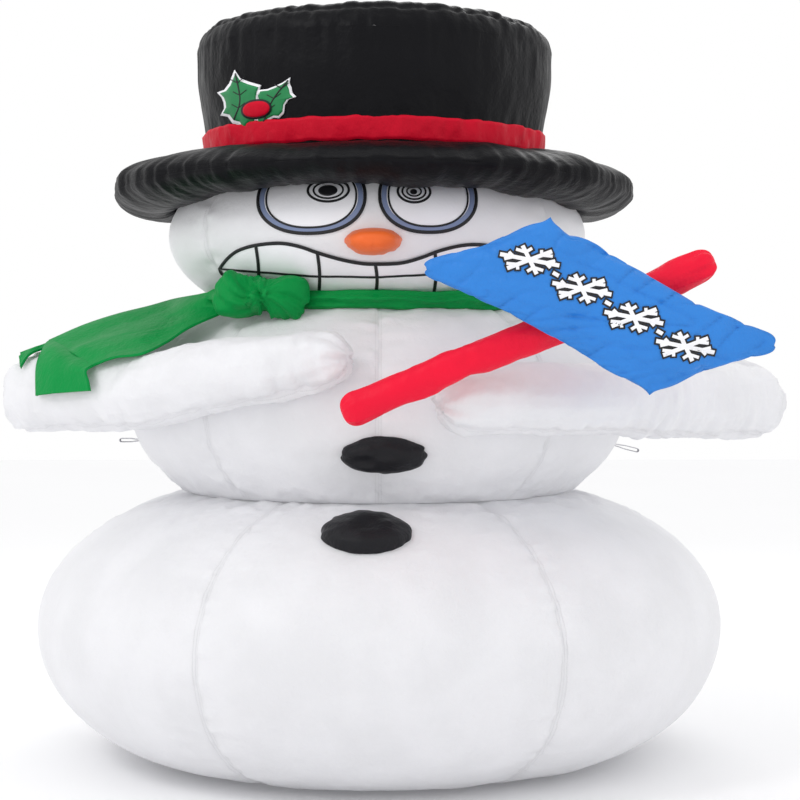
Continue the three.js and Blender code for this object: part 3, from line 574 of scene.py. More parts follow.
def around_blower(points):
    """Draws the cloth flat behind the fan's flange, and opens it inside the barrel."""
    axis = np.array(joint_of("impeller_spin")["axis"])
    level = (BASE_MIDDLE - FAN_HEIGHT) / BASE_MIDDLE
    seat = FLOOR_RADIUS + (BASE_RADIUS - FLOOR_RADIUS) * math.sqrt(1 - level * level) + 0.004
    offset = points - np.array([0.0, seat, FAN_HEIGHT])
    depth = offset @ axis
    radius = np.linalg.norm(offset - depth[..., None] * axis, axis=-1)
    near = depth > -0.12
    hold = (1 - smooth(FAN_FLANGE, 0.21, radius)) * near
    moved = points + ((-0.001 - depth) * hold)[..., None] * axis
    return moved, ~((radius < 0.093) & near)


make_gores(base_ball, BASE_GORES, 0.011)
make_gores(torso_ball, TORSO_GORES, 0.009)
make_gores(head_ball, HEAD_GORES, 0.008)


# ---------- hat ----------

CROWN_FOOT_RADIUS = 0.421


def crown_relief(turn, z):
    """Folds of the crown: long soft ones down its side, and short puckers at the band and the top seam."""
    c, s = np.cos(turn) * HAT_RADIUS, np.sin(turn) * HAT_RADIUS
    near_top = np.exp(-np.abs(z - (HAT_SHOULDER + 0.02)) / 0.05)
    near_band = np.exp(-np.abs(z - band_high[2]) / 0.04)
    long_fold = 0.0055 * noise(51, c / 0.12, s / 0.12, z / 0.5)
    pucker = noise(52, c / 0.017, s / 0.017, z / 0.12)
    soft = 0.0015 * noise(53, c / 0.05, s / 0.05, z / 0.06)
    return long_fold + (0.0065 * near_top + 0.0022 * near_band) * pucker + soft


def crown_radius(z):
    return CROWN_FOOT_RADIUS + (HAT_RADIUS - CROWN_FOOT_RADIUS) * smooth(HAT_FOOT, HAT_FOOT + 0.20, z)


def hat_crown():
    for name, start in (("hat_crown_front", -90), ("hat_crown_back", 90)):
        theta, z = np.meshgrid(np.linspace(0, 180, 220), np.linspace(HAT_FOOT, HAT_SHOULDER, 46))
        near = np.radians(np.minimum(theta, 180 - theta)) * HAT_RADIUS
        turn = np.radians(theta + start)
        radius = crown_radius(z) + crown_relief(turn, z) - 0.004 * hill(near, 0.01)
        piece = grid_piece("skin_" + name, about(HAT_X, radius, turn, z), "black", name,
                           attributes={"seam": near, "run": z})


def hat_crown_top():
    """The crown's lid: rolled over the shoulder, gathered into the top seam, and domed towards its middle."""
    roll, rise = 0.071, 0.066
    rim, roll_top = HAT_RADIUS - roll, HAT_SHOULDER + rise
    share = np.linspace(0, 1, 34)[1:]
    lid = np.stack([rim + (0.004 - rim) * share,
                    roll_top + (HAT_TOP - roll_top) * np.sin(share * np.pi / 2)], axis=1)
    outline = np.concatenate([ellipse_arc(rim, HAT_SHOULDER, roll, rise, 0, 90, 26), lid])
    run = run_along(outline)
    row, turn = rows_and_turns(np.arange(len(outline)), 440)
    radius, height, length = outline[row, 0], outline[row, 1], run[row]
    c, s = np.cos(turn), np.sin(turn)
    seam = np.abs(length - 0.058)
    pucker = (noise(61, c * HAT_RADIUS / 0.017, s * HAT_RADIUS / 0.017, length / 0.10)
              * 0.0068 * np.exp(-seam / 0.045))
    soft = 0.005 * noise(62, c * radius / 0.12, s * radius / 0.12, height / 0.2) * smooth(0.03, 0.2, radius)
    joint = np.where(length < 0.03, crown_relief(turn, HAT_SHOULDER) * (1 - length / 0.03), 0)
    off = (pucker * smooth(0, 0.03, length) + soft * smooth(0.02, 0.08, length)
           - 0.005 * hill(seam, 0.008) + joint)
    along = np.gradient(outline, run, axis=0)
    reach = np.maximum(radius + along[row, 1] * off, 0.001)
    points = about(HAT_X, reach, turn, np.minimum(height - along[row, 0] * off, HAT_TOP + 0.006))
    piece = grid_piece("skin_hat_crown_top", points, "black", "hat_crown_top", closed=True,
                       attributes={"seam": seam, "run": turn * HAT_RADIUS})


# The brim's outline as (radius, height), from the crown out over its top, round its rim and back underneath.
BRIM_OUTLINE = [(0.400, 1.488), (0.440, 1.484), (0.520, 1.477), (0.600, 1.456), (0.640, 1.434),
                (0.654, 1.416), (0.650, 1.401), (0.620, 1.377), (0.572, 1.362), (0.530, 1.362),
                (0.505, 1.370)]
BRIM_RADIUS = 0.65


def hat_brim():
    """A fat rolled brim: gathered at the crown and along its outer seam, its sides curled up a little."""
    profile = catmull(BRIM_OUTLINE, 64)
    run = run_along(profile)
    normal = -right_of(profile, run)
    row, turn = rows_and_turns(np.arange(len(profile)), 520)
    radius, height, length = profile[row, 0], profile[row, 1], run[row]
    c, s = np.cos(turn) * BRIM_RADIUS, np.sin(turn) * BRIM_RADIUS
    seam = np.abs(length - run[np.argmax(profile[:, 0])])
    to_end = run[-1] - length
    gather = 0.0085 * np.exp(-seam / 0.055) + 0.008 * np.exp(-length / 0.055) + 0.005 * np.exp(-to_end / 0.05)
    off = noise(71, c / 0.021, s / 0.021, length / 0.12) * gather
    off += 0.007 * noise(72, c / 0.10, s / 0.10, length / 0.2 + 5) * smooth(0, 0.05, length)
    off -= 0.006 * hill(seam, 0.009)
    under = 1 - smooth(1.396, 1.436, height)
    curl = 0.017 * smooth(HAT_RADIUS, 0.54, radius) * np.cos(2 * turn) * under
    points = about(HAT_X, radius + normal[row, 0] * off, turn, height + normal[row, 1] * off + curl)
    piece = grid_piece("skin_hat_brim", points, "black", "hat_brim", closed=True, flip=True,
                       attributes={"seam": seam, "run": turn * BRIM_RADIUS})


def hat_band():
    """A flat band round the crown, a little loose, with soft vertical ripples."""
    t, turn = rows_and_turns(np.linspace(0, 1, 14), 400)
    c, s = np.cos(turn), np.sin(turn)
    height = band_high[2] - band_low[2]
    z = band_low[2] + height * t
    lift = 0.0065 + 0.0032 * noise(81, c * 18, s * 18, t * 1.2) + 0.0012 * noise(82, c * 55, s * 55, t * 3)
    lift = lift + 0.002 * np.sin(np.pi * t) - 0.004 * (1 - smooth(0, 0.08, np.minimum(t, 1 - t)))
    radius = crown_radius(z) + np.maximum(crown_relief(turn, z), -0.002) * 0.6 + lift
    z = z + 0.0022 * noise(83, c * 12, s * 12, 0)
    piece = grid_piece("skin_hat_band", about(HAT_X, radius, turn, z), "red", "hat_band", closed=True,
                       attributes={"run": turn * HAT_RADIUS})


def on_crown(x, z, lift):
    """A point on the front of the crown at x and height z."""
    x, z = np.broadcast_arrays(np.asarray(x, float), np.asarray(z, float))
    turn = np.zeros_like(x)
    for _ in range(4):
        reach = crown_radius(z) + crown_relief(turn, z) + lift
        turn = np.arcsin(np.clip((x - HAT_X) / reach, -0.999, 0.999))
    return about(HAT_X, crown_radius(z) + crown_relief(turn, z) + lift, turn, z)


# ---------- printed patches and lines ----------

def closed_curve(points, count):
    """A closed outline through the points, with its corners kept."""
    points = np.array(list(points) + [points[0]], float)
    run = run_along(points)
    want = np.union1d(np.linspace(0, run[-1], count), run)[:-1]
    return np.stack([np.interp(want, run, points[:, 0]), np.interp(want, run, points[:, 1])], axis=1)


def patch(name, outline, centre, surface, lift, material, rings=10, crown=0.0, node=None):
    """A printed or sewn-on patch: fans out from a centre to its outline, and follows the surface."""
    outline, centre = np.asarray(outline, float), np.asarray(centre, float)
    shares = np.linspace(0.02, 1, rings)
    flat = np.array([centre + (outline - centre) * share for share in shares])
    raised = np.broadcast_to((lift + crown * (1 - shares ** 3))[:, None], flat.shape[:2])
    points = surface(flat[..., 0], flat[..., 1], raised)
    count = len(outline)
    foot = surface(outline[:, 0], outline[:, 1], np.full(count, max(lift - 0.002, 0.0002)))
    middle = surface(centre[0], centre[1], lift + crown)
    vertices = np.concatenate([points.reshape(-1, 3), foot, [middle]])
    faces = grid_faces(rings + 1, count, True)
    faces += [(j, len(vertices) - 1, (j + 1) % count) for j in range(count)]
    return new_piece(name, vertices, [f[::-1] for f in faces], material, node)


def ellipse(x, z, width, height, count=72, squareness=2.0):
    """A round-cornered oval: squareness 2 is an ellipse, more is boxier."""
    t = full_turn(count)
    c, s = np.cos(t), np.sin(t)
    px = np.sign(c) * np.abs(c) ** (2 / squareness) * width / 2
    pz = np.sign(s) * np.abs(s) ** (2 / squareness) * height / 2
    return np.stack([x + px, z + pz], axis=1)


def ribbon(points, width, surface, lift, closed=False):
    """Vertices and faces of a drawn line of some width that follows a surface; points are (x, z)."""
    points = np.asarray(points, float)
    if closed:
        ahead = np.roll(points, -1, axis=0) - np.roll(points, 1, axis=0)
    else:
        ahead = np.gradient(points, axis=0)
    ahead = unit(ahead)
    side = np.stack([-ahead[:, 1], ahead[:, 0]], axis=1) * width
    rails = [points + side * k for k in (-0.5, -0.25, 0.0, 0.25, 0.5)]
    lifts = [lift - 0.0006, lift, lift + 0.0002, lift, lift - 0.0006]
    grid = np.stack([surface(r[:, 0], r[:, 1], l) for r, l in zip(rails, lifts)])
    return grid.reshape(-1, 3), grid_faces(5, len(points), closed)


HOLLY = {
    "left": [(-0.343, 1.660), (-0.330, 1.640), (-0.313, 1.632), (-0.286, 1.622), (-0.291, 1.610),
             (-0.293, 1.598), (-0.286, 1.570), (-0.299, 1.545), (-0.310, 1.546), (-0.325, 1.531),
             (-0.333, 1.548), (-0.349, 1.553), (-0.360, 1.568), (-0.377, 1.574), (-0.368, 1.586),
             (-0.369, 1.598), (-0.374, 1.610), (-0.384, 1.621), (-0.367, 1.623), (-0.355, 1.634)],
    "right": [(-0.214, 1.631), (-0.216, 1.620), (-0.212, 1.611), (-0.210, 1.600), (-0.202, 1.592),
              (-0.218, 1.588), (-0.226, 1.577), (-0.228, 1.562), (-0.238, 1.553), (-0.250, 1.555),
              (-0.263, 1.550), (-0.275, 1.542), (-0.289, 1.542), (-0.284, 1.566), (-0.284, 1.592),
              (-0.287, 1.602), (-0.281, 1.612), (-0.262, 1.612), (-0.244, 1.617), (-0.230, 1.622)],
}
HOLLY_MIDDLES = {"left": (-0.332, 1.597), "right": (-0.252, 1.588)}
BERRY = (-0.292, 1.572)


def holly():
    """Two printed leaves with a pale edge and veins, and a berry between them."""
    lift = 0.003
    for side, points in HOLLY.items():
        centre = HOLLY_MIDDLES[side]
        outline = closed_curve(points, 90)
        pale = np.array(centre) + (outline - np.array(centre)) * 1.16
        patch("holly_edge_" + side, pale, centre, on_crown, lift, "print", 6)
        patch("holly_leaf_cloth_" + side, outline, centre, on_crown, lift + 0.0012, "leaf", 8, 0.002,
              "holly_leaf_" + side)
        spine = catmull([points[0], centre, points[len(points) // 2 + 1]], 20)
        lines = [ribbon(spine, 0.0035, on_crown, lift + 0.004)]
        for start in spine[[4, 9, 14]]:
            for reach in (-0.017, 0.017):
                vein = np.linspace(start, start + np.array([reach, 0.010]), 8)
                lines.append(ribbon(vein, 0.0022, on_crown, lift + 0.004))
        joined_piece("holly_veins_" + side, lines, "ink")
    edge = ellipse(*BERRY, 0.076, 0.045, 48, 2.2)
    patch("holly_berry_edge", edge, BERRY, on_crown, lift + 0.0045, "ink", 5)
    berry = ellipse(*BERRY, 0.066, 0.036, 48, 2.2)
    patch("holly_berry_cloth", berry, BERRY, on_crown, lift + 0.0055, "red", 7, 0.003, "holly_berry")


hat_crown()
hat_crown_top()
hat_brim()
hat_band()
holly()


# ---------- face ----------

# Rings of the iris: share of its size, line width, lift off the cloth and number of points.
RINGS = [(1.0, 0.0055, 0.0034, 72), (0.72, 0.0042, 0.0034, 72)]
EYES = {
    "left": {"at": (-0.158, 1.350), "size": (0.248, 0.160), "iris": (-0.118, 1.364),
             "iris_size": (0.094, 0.052), "rings": RINGS, "pupil": (0.044, 0.024)},
    "right": {"at": (0.110, 1.352), "size": (0.222, 0.160), "iris": (0.077, 1.360),
              "iris_size": (0.074, 0.050), "rings": RINGS + [(0.44, 0.0038, 0.0036, 48)],
              "pupil": (0.016, 0.012)},
}


def eyes():
    """Printed eyes: a white patch, two dark outlines with a grey one between, and rings round a pupil."""
    for side, eye in EYES.items():
        wide, tall = eye["size"]

        def outline(grow_wide, grow_tall):
            return ellipse(*eye["at"], wide + grow_wide, tall + grow_tall, 120, 2.25)

        patch("eye_cloth_" + side, outline(0, 0), eye["at"], head_ball.front, 0.0018, "print", 14,
              node="eye_patch_" + side)
        dark = [ribbon(outline(0, 0), 0.0075, head_ball.front, 0.0034, True),
                ribbon(outline(-0.040, -0.0248), 0.0045, head_ball.front, 0.0034, True)]
        for share, width, lift, count in eye["rings"]:
            ring = ellipse(*eye["iris"], eye["iris_size"][0] * share, eye["iris_size"][1] * share, count)
            dark.append(ribbon(ring, width, head_ball.front, lift, True))
        joined_piece("eye_lines_" + side, dark, "ink")
        grey = [ribbon(outline(-0.020, -0.0125), 0.0115, head_ball.front, 0.0026, True)]
        joined_piece("eye_shade_" + side, grey, "slate")
        middle = (eye["iris"][0] - 0.001, eye["iris"][1] - 0.001)
        patch("eye_pupil_" + side, ellipse(*middle, *eye["pupil"], 40), middle, head_ball.front, 0.0036,
              "ink", 5)


MOUTH_TOP = [(-0.383, 1.196), (-0.372, 1.208), (-0.350, 1.226), (-0.326, 1.238), (-0.286, 1.247),
             (-0.229, 1.250), (-0.183, 1.242), (-0.141, 1.228), (-0.091, 1.214), (-0.050, 1.207),
             (-0.016, 1.205), (0.046, 1.207), (0.092, 1.218), (0.137, 1.233), (0.190, 1.245),
             (0.240, 1.247), (0.290, 1.240), (0.325, 1.226), (0.345, 1.206), (0.352, 1.194)]
MOUTH_FOOT = [(-0.383, 1.196), (-0.370, 1.180), (-0.330, 1.162), (-0.270, 1.150), (-0.180, 1.141),
              (-0.080, 1.137), (0.0, 1.136), (0.100, 1.139), (0.200, 1.146), (0.290, 1.160), (0.335, 1.176),
              (0.352, 1.194)]
BITE = [(-0.383, 1.198), (-0.330, 1.193), (-0.275, 1.187), (-0.200, 1.181), (-0.127, 1.177), (-0.007, 1.177),
        (0.080, 1.180), (0.180, 1.184), (0.270, 1.188), (0.352, 1.194)]
TOOTH_LINES = [-0.287, -0.143, -0.011, 0.125, 0.250]


def mouth():
    """Gritted teeth: a white patch with a heavy outline, a bite line and the gaps between the teeth."""
    top, foot = catmull(MOUTH_TOP, 130), catmull(MOUTH_FOOT, 130)
    flat = np.array([top + (foot - top) * t for t in np.linspace(0, 1, 16)])
    points = head_ball.front(flat[..., 0], flat[..., 1], 0.0018)
    grid_piece("mouth_cloth", points, "print", "mouth_patch", flip=True)
    outline = np.concatenate([top, foot[::-1][1:-1]])
    lines = [ribbon(outline, 0.0078, head_ball.front, 0.0034, True),
             ribbon(catmull(BITE, 90), 0.0048, head_ball.front, 0.0032)]
    lean = 0.004 * np.sin(np.linspace(0, np.pi, 18))
    for x in TOOTH_LINES:
        z = np.linspace(np.interp(x, top[:, 0], top[:, 1]), np.interp(x, foot[:, 0], foot[:, 1]), 18)
        lines.append(ribbon(np.stack([x + lean, z], axis=1), 0.0078, head_ball.front, 0.0034))
    joined_piece("mouth_lines", lines, "ink")


def carrot_nose():
    """A short stuffed nose, gathered round its edge, with a pinched seam underneath."""
    low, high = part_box("carrot_nose")
    x, z = (low[0] + high[0]) / 2, (low[2] + high[2]) / 2
    wide, tall = (high[0] - low[0]) / 2, (high[2] - low[2]) / 2
    root = head_ball.front(x, z, 0.0)[1]
    t, turn = rows_and_turns(np.linspace(0, 1, 40), 96)
    c, s = np.cos(turn), np.sin(turn)
    gather = np.exp(-t / 0.22) * 0.0035 * noise(91, c * 5, s * 5, t * 2)
    soft = 0.0022 * noise(92, c * 1.6, s * 1.6, t * 3)
    fold = -0.006 * hill(wrap(np.degrees(turn) + 88), 13) * smooth(0.25, 0.9, t)
    radius = np.cos(t * np.pi / 2) ** 0.62 + (gather + soft + fold) / wide * smooth(1.0, 0.9, t)
    px = x + wide * radius * c * (1 + 0.10 * s)
    pz = z + tall * radius * s
    base = np.where(t < 0.5, head_ball.front(px, pz, 0.0)[..., 1], root)
    py = root - (root - low[1]) * np.sin(t * np.pi / 2) + (base - root) * (1 - smooth(0, 0.5, t))
    py = py + 0.004 * (1 - smooth(0, 0.06, t))
    piece = grid_piece("carrot_nose_cloth", np.stack([px, py, pz], axis=-1), "orange", "carrot_nose",
                       closed=True)


eyes()
mouth()
carrot_nose()


# ---------- buttons ----------

def stuffed_button(name, ball, z, tall, seed):
    """A flat stuffed button at height z, of half height tall up the slope, gathered round its edge."""
    low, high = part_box(name)
    x, wide = (low[0] + high[0]) / 2, (high[0] - low[0]) / 2
    front = ball.front(x, z, 0.0)
    _, _, out, up = ball.profile(ball.run_at_height(z))
    t, turn = rows_and_turns(np.linspace(0, 1, 30), 110)
    c, s = np.cos(turn), np.sin(turn)
    shape = np.cos(t * np.pi / 2) ** 0.7
    swell = np.sin(t * np.pi / 2)
    gather = np.exp(-t / 0.3) * 0.0055 * noise(seed, c * 4.2, s * 4.2, t * 1.5)
    dents = 0.005 * noise(seed + 1, c * shape * 2.1, s * shape * 2.1, 3)
    radius = shape + gather / wide
    upward = np.array([0.0, up, out])
    plane = (front + (wide * radius * c)[..., None] * np.array([1.0, 0, 0])
             + (tall * radius * s)[..., None] * upward)
    ground = ball.front(plane[..., 0], plane[..., 2], 0.0)
    share = (1 - smooth(0.0, 0.75, t))[..., None]
    lift = 0.034 * swell ** 0.8 + dents * swell + gather * 0.6
    points = ground * share + plane * (1 - share) + lift[..., None] * np.array([0.0, -out, up])
    points[..., 1] += np.where(t < 0.03, 0.004, 0.0)
    piece = grid_piece(name + "_cloth", points, "button", name, closed=True)


stuffed_button("button_upper", torso_ball, 0.771, 0.045, 101)
stuffed_button("button_lower", base_ball, 0.590, 0.077, 107)


# ---------- stuffed shapes made of round lengths ----------

def capsule(a, ra, b, rb, segments=28):
    """A tapered round-ended length between two balls, as vertices and faces."""
    a, b = np.array(a, float), np.array(b, float)
    length = np.linalg.norm(b - a)
    lean = math.asin((ra - rb) / length)
    start, end = np.linspace(-np.pi / 2, lean, 9), np.linspace(lean, np.pi / 2, 9)
    radius = np.concatenate([ra * np.cos(start), rb * np.cos(end)])
    reach = np.concatenate([ra * np.sin(start), length + rb * np.sin(end)])
    radius[[0, -1]] = 1e-4
    turn = full_turn(segments)
    along = (b - a) / length
    side, up = side_and_up(along)
    ring = np.cos(turn)[:, None] * side + np.sin(turn)[:, None] * up
    points = a + radius[:, None, None] * ring + reach[:, None, None] * along
    rows = len(radius)
    return points.reshape(-1, 3), with_ends(grid_faces(rows, segments, True), rows, segments)


def fused(parts, voxel, rounds):
    """Several closed shapes melted into one skin: its points, their normals, and its faces."""
    vertices, faces = joined(parts)
    data = bpy.data.meshes.new("fusing")
    data.from_pydata([tuple(v) for v in vertices], [], faces)
    temporary = bpy.data.objects.new("fusing", data)
    bpy.context.scene.collection.objects.link(temporary)
    remesh = temporary.modifiers.new("remesh", "REMESH")
    remesh.mode = "VOXEL"
    remesh.voxel_size = voxel
    even = temporary.modifiers.new("even", "SMOOTH")
    even.factor = 0.5
    even.iterations = rounds
    graph = bpy.context.evaluated_depsgraph_get()
    result = bpy.data.meshes.new_from_object(temporary.evaluated_get(graph))
    points, normals = np.empty(len(result.vertices) * 3), np.empty(len(result.vertices) * 3)
    result.vertices.foreach_get("co", points)
    result.vertices.foreach_get("normal", normals)
    skin = [tuple(p.vertices) for p in result.polygons]
    bpy.data.objects.remove(temporary)
    bpy.data.meshes.remove(data)
    bpy.data.meshes.remove(result)
    return points.reshape(-1, 3), normals.reshape(-1, 3), skin


def along_chain(points, chain):
    """For each point: distance run along the chain, its whole length, and the angle and distance round it."""
    path = catmull([list(at) + [r] for at, r in chain], 260)[:, :3]
    run = run_along(path)
    ahead = unit(np.gradient(path, axis=0))
    nearest = np.empty(len(points), int)
    for start in range(0, len(points), 4000):
        gap = ((points[start:start + 4000, None] - path[None]) ** 2).sum(axis=2)
        nearest[start:start + 4000] = gap.argmin(axis=1)
    offset = points - path[nearest]
    beyond = (offset * ahead[nearest]).sum(axis=1)
    side, up = side_and_up(ahead)
    angle = np.arctan2((offset * up[nearest]).sum(axis=1), (offset * side[nearest]).sum(axis=1))
    return run[nearest] + beyond, run[-1], angle, np.linalg.norm(offset, axis=1)


# Each arm is a chain of (place, radius) from the shoulder to the hand.
ARMS = {
    "left": [((-0.470, -0.050, 1.020), 0.090), ((-0.640, -0.110, 0.985), 0.098),
             ((-0.826, -0.200, 0.899), 0.096), ((-0.530, -0.455, 0.908), 0.086),
             ((-0.355, -0.582, 0.945), 0.081), ((-0.128, -0.640, 0.979), 0.067)],
    "right": [((0.470, -0.050, 1.020), 0.090), ((0.680, -0.120, 0.965), 0.095),
              ((0.895, -0.210, 0.883), 0.091), ((0.620, -0.435, 0.896), 0.089),
              ((0.400, -0.600, 0.892), 0.082), ((0.193, -0.668, 0.888), 0.075)],
}


def arm_skin(side, seam_angle, pinches, seed):
    """An inflated sleeve: a skin over the chain, drawn in along its seam and wrinkled where it bends."""
    chain = ARMS[side]
    lengths = [capsule(a, ra, b, rb) for (a, ra), (b, rb) in zip(chain, chain[1:])]
    points, normals, faces = fused(lengths, 0.0075, 14)
    run, total, angle, radius = along_chain(points, chain)
    c, s = np.cos(angle), np.sin(angle)
    gap = wrap(np.degrees(angle) - seam_angle)
    seam = np.abs(gap) * np.pi / 180 * np.maximum(radius, 0.03)
    off = (0.006 * noise(seed, run / 0.17, c * 1.1, s * 1.1)
           + 0.0022 * noise(seed + 1, run / 0.06, c * 2.4, s * 2.4))
    cross = noise(seed + 2, run / 0.022 + 0.9 * c, c * 1.5, s * 1.5)
    cross = cross + 0.45 * noise(seed + 3, run / 0.011 + 0.9 * c, c * 2.2, s * 2.2)
    facing = smooth(0.05, 0.75, 0.5 - 0.5 * normals[:, 1])
    for where, reach, depth in pinches:
        off += depth * np.exp(-np.abs(run - where * total) / reach) * cross * (0.4 + 0.6 * facing)
    streaks = ridges(noise(seed + 6, run / 0.085, c * 2.6, s * 2.6))
    bands = ridges(noise(seed + 7, run / 0.055 + 0.8 * s, c * 1.3, s * 1.3))
    off += 0.0026 * streaks + 0.0018 * bands - 0.0012
    end = np.exp(-np.maximum(total + 0.03 - run, 0) / 0.06)
    off += 0.0095 * end * noise(seed + 4, c * 3.4, s * 3.4, run / 0.12)
    pucker = noise(seed + 5, run / 0.019, np.sign(gap) * 3, seam / 0.1) * smooth(0, 0.008, seam)
    off += 0.0062 * np.exp(-seam / 0.035) * pucker - 0.0050 * hill(seam, 0.009)
    piece = new_piece("arm_sleeve_%s_cloth" % side, points + normals * off[:, None], faces, "white",
                      "arm_sleeve_" + side, attributes={"seam": seam, "run": run})


# The pinches are given as share of the way along the sleeve, reach and depth.
arm_skin("left", -64, [(0.33, 0.10, 0.007), (0.10, 0.08, 0.005), (0.62, 0.06, 0.003), (0.97, 0.05, 0.005)],
                       201)
arm_skin("right", -116, [(0.36, 0.10, 0.007), (0.10, 0.08, 0.005), (0.62, 0.11, 0.0065)], 211)


# ---------- sign on its post ----------

POST_FROM, POST_TO, POST_RADIUS = np.array([-0.048, -0.768, 0.877]), np.array([0.680, -0.768, 1.180]), 0.035


def sign_post():
    """A long stuffed tube, gathered at both round ends, with a seam along it and soft dents."""
    length = np.linalg.norm(POST_TO - POST_FROM)
    along = (POST_TO - POST_FROM) / length
    side, up = side_and_up(along)
    cap = np.linspace(0, np.pi / 2, 14)
    body = np.linspace(0, length, 130)[1:-1]
    run = np.concatenate([-POST_RADIUS * np.cos(cap), body, length + POST_RADIUS * np.sin(cap)])
    radius = POST_RADIUS * np.concatenate([np.sin(cap) ** 0.75, np.ones(len(body)), np.cos(cap) ** 0.75])
    t, turn = rows_and_turns(run, 72)
    c, s = np.cos(turn), np.sin(turn)
    size = np.maximum(radius, 0.0006)[:, None]
    ends = np.exp(-np.minimum(t + POST_RADIUS, length + POST_RADIUS - t) / 0.05)
    off = (0.0055 * ends * noise(301, c * 3.2, s * 3.2, t / 0.1)
           + 0.0042 * noise(302, t / 0.075, c * 1.1, s * 1.1))
    off += 0.0014 * noise(303, t / 0.021, c * 1.6, s * 1.6)
    off -= 0.006 * hill(t - length * 0.32, 0.018) * (0.5 + 0.5 * noise(304, t / 0.03, c * 2, s * 2))
    off -= 0.003 * hill(wrap(np.degrees(turn) - 205), 9)
    reach = np.maximum(size + off * smooth(0, 0.02, size), 0.0004)
    sag = 0.004 * np.sin(np.pi * np.clip(t / length, 0, 1) * 2.0)
    points = (POST_FROM + t[..., None] * along + (reach * c)[..., None] * side
              + (reach * s + sag)[..., None] * up)
    piece = grid_piece("sign_post_cloth", points, "post_red", "sign_post", closed=True)


SIGN_MIDDLE, SIGN_Y, SIGN_HALF = np.array([0.460, 1.094]), -0.835, 0.029
# Half the board along each of its edges, as (x, z).
SIGN_LONG, SIGN_SHORT = np.array([0.471, -0.262]) / 2, np.array([0.270, 0.102]) / 2


def inflated(points, faces, pressure, frames):
    """Blows up a sewn shell by a short cloth simulation without weight, and gives its points afterwards."""
    scene = bpy.context.scene
    data = bpy.data.meshes.new("inflating")
    data.from_pydata([tuple(p) for p in points], [], faces)
    shell = bpy.data.objects.new("inflating", data)
    scene.collection.objects.link(shell)
    cloth = shell.modifiers.new("cloth", "CLOTH")
    settings = cloth.settings
    settings.effector_weights.gravity = 0
    settings.use_pressure = True
    settings.uniform_pressure_force = pressure
    settings.mass = 0.15
    settings.tension_stiffness = 15
    settings.compression_stiffness = 15
    settings.shear_stiffness = 6
    settings.bending_stiffness = 0.03
    settings.air_damping = 4
    cloth.collision_settings.use_collision = False
    cloth.point_cache.frame_start = 1
    cloth.point_cache.frame_end = frames
    for number in range(1, frames + 1):
        scene.frame_set(number)
    blown = shell.evaluated_get(bpy.context.evaluated_depsgraph_get()).to_mesh()
    moved = np.empty(len(points) * 3)
    blown.vertices.foreach_get("co", moved)
    bpy.data.objects.remove(shell)
    bpy.data.meshes.remove(data)
    scene.frame_set(1)
    return moved.reshape(-1, 3)


# Valleys that run up the sign from its lower edge: place along it, slope, width, reach and depth.
SIGN_VALLEYS = [(0.02, 1.9, 0.030, 0.75, 0.0080), (-0.12, 1.5, 0.022, 0.5, 0.0055),
                (0.16, 2.3, 0.024, 0.45, 0.0050), (0.80, 0.8, 0.020, 0.35, 0.0070),
                (0.70, 1.2, 0.018, 0.3, 0.0055)]


def sign_creases(a, b):
    """Depth of the shallow valleys and slanted creases in the front, over its own -1 to 1 coordinates."""
    depth = 0
    for centre, slope, wide, reach, deep in SIGN_VALLEYS:
        valley = hill((a - centre) - (b + 1) / 2 * slope * 0.28, wide)
        depth = depth + deep * valley * np.exp(-(b + 1) / reach)
    slanted = ridges(noise(317, a * 5.2 + b * 0.8, b * 1.1 + 4, 0))
    crossing = ridges(noise(318, a * 2.1 - b * 1.2, b * 2.6 + 9, 0))
    depth = depth + 0.0090 * (0.35 + 0.65 * b * b) * slanted + 0.0060 * crossing
    return depth * smooth(0, 0.10, 1 - np.abs(b)) * smooth(0, 0.06, 1 - np.abs(a))


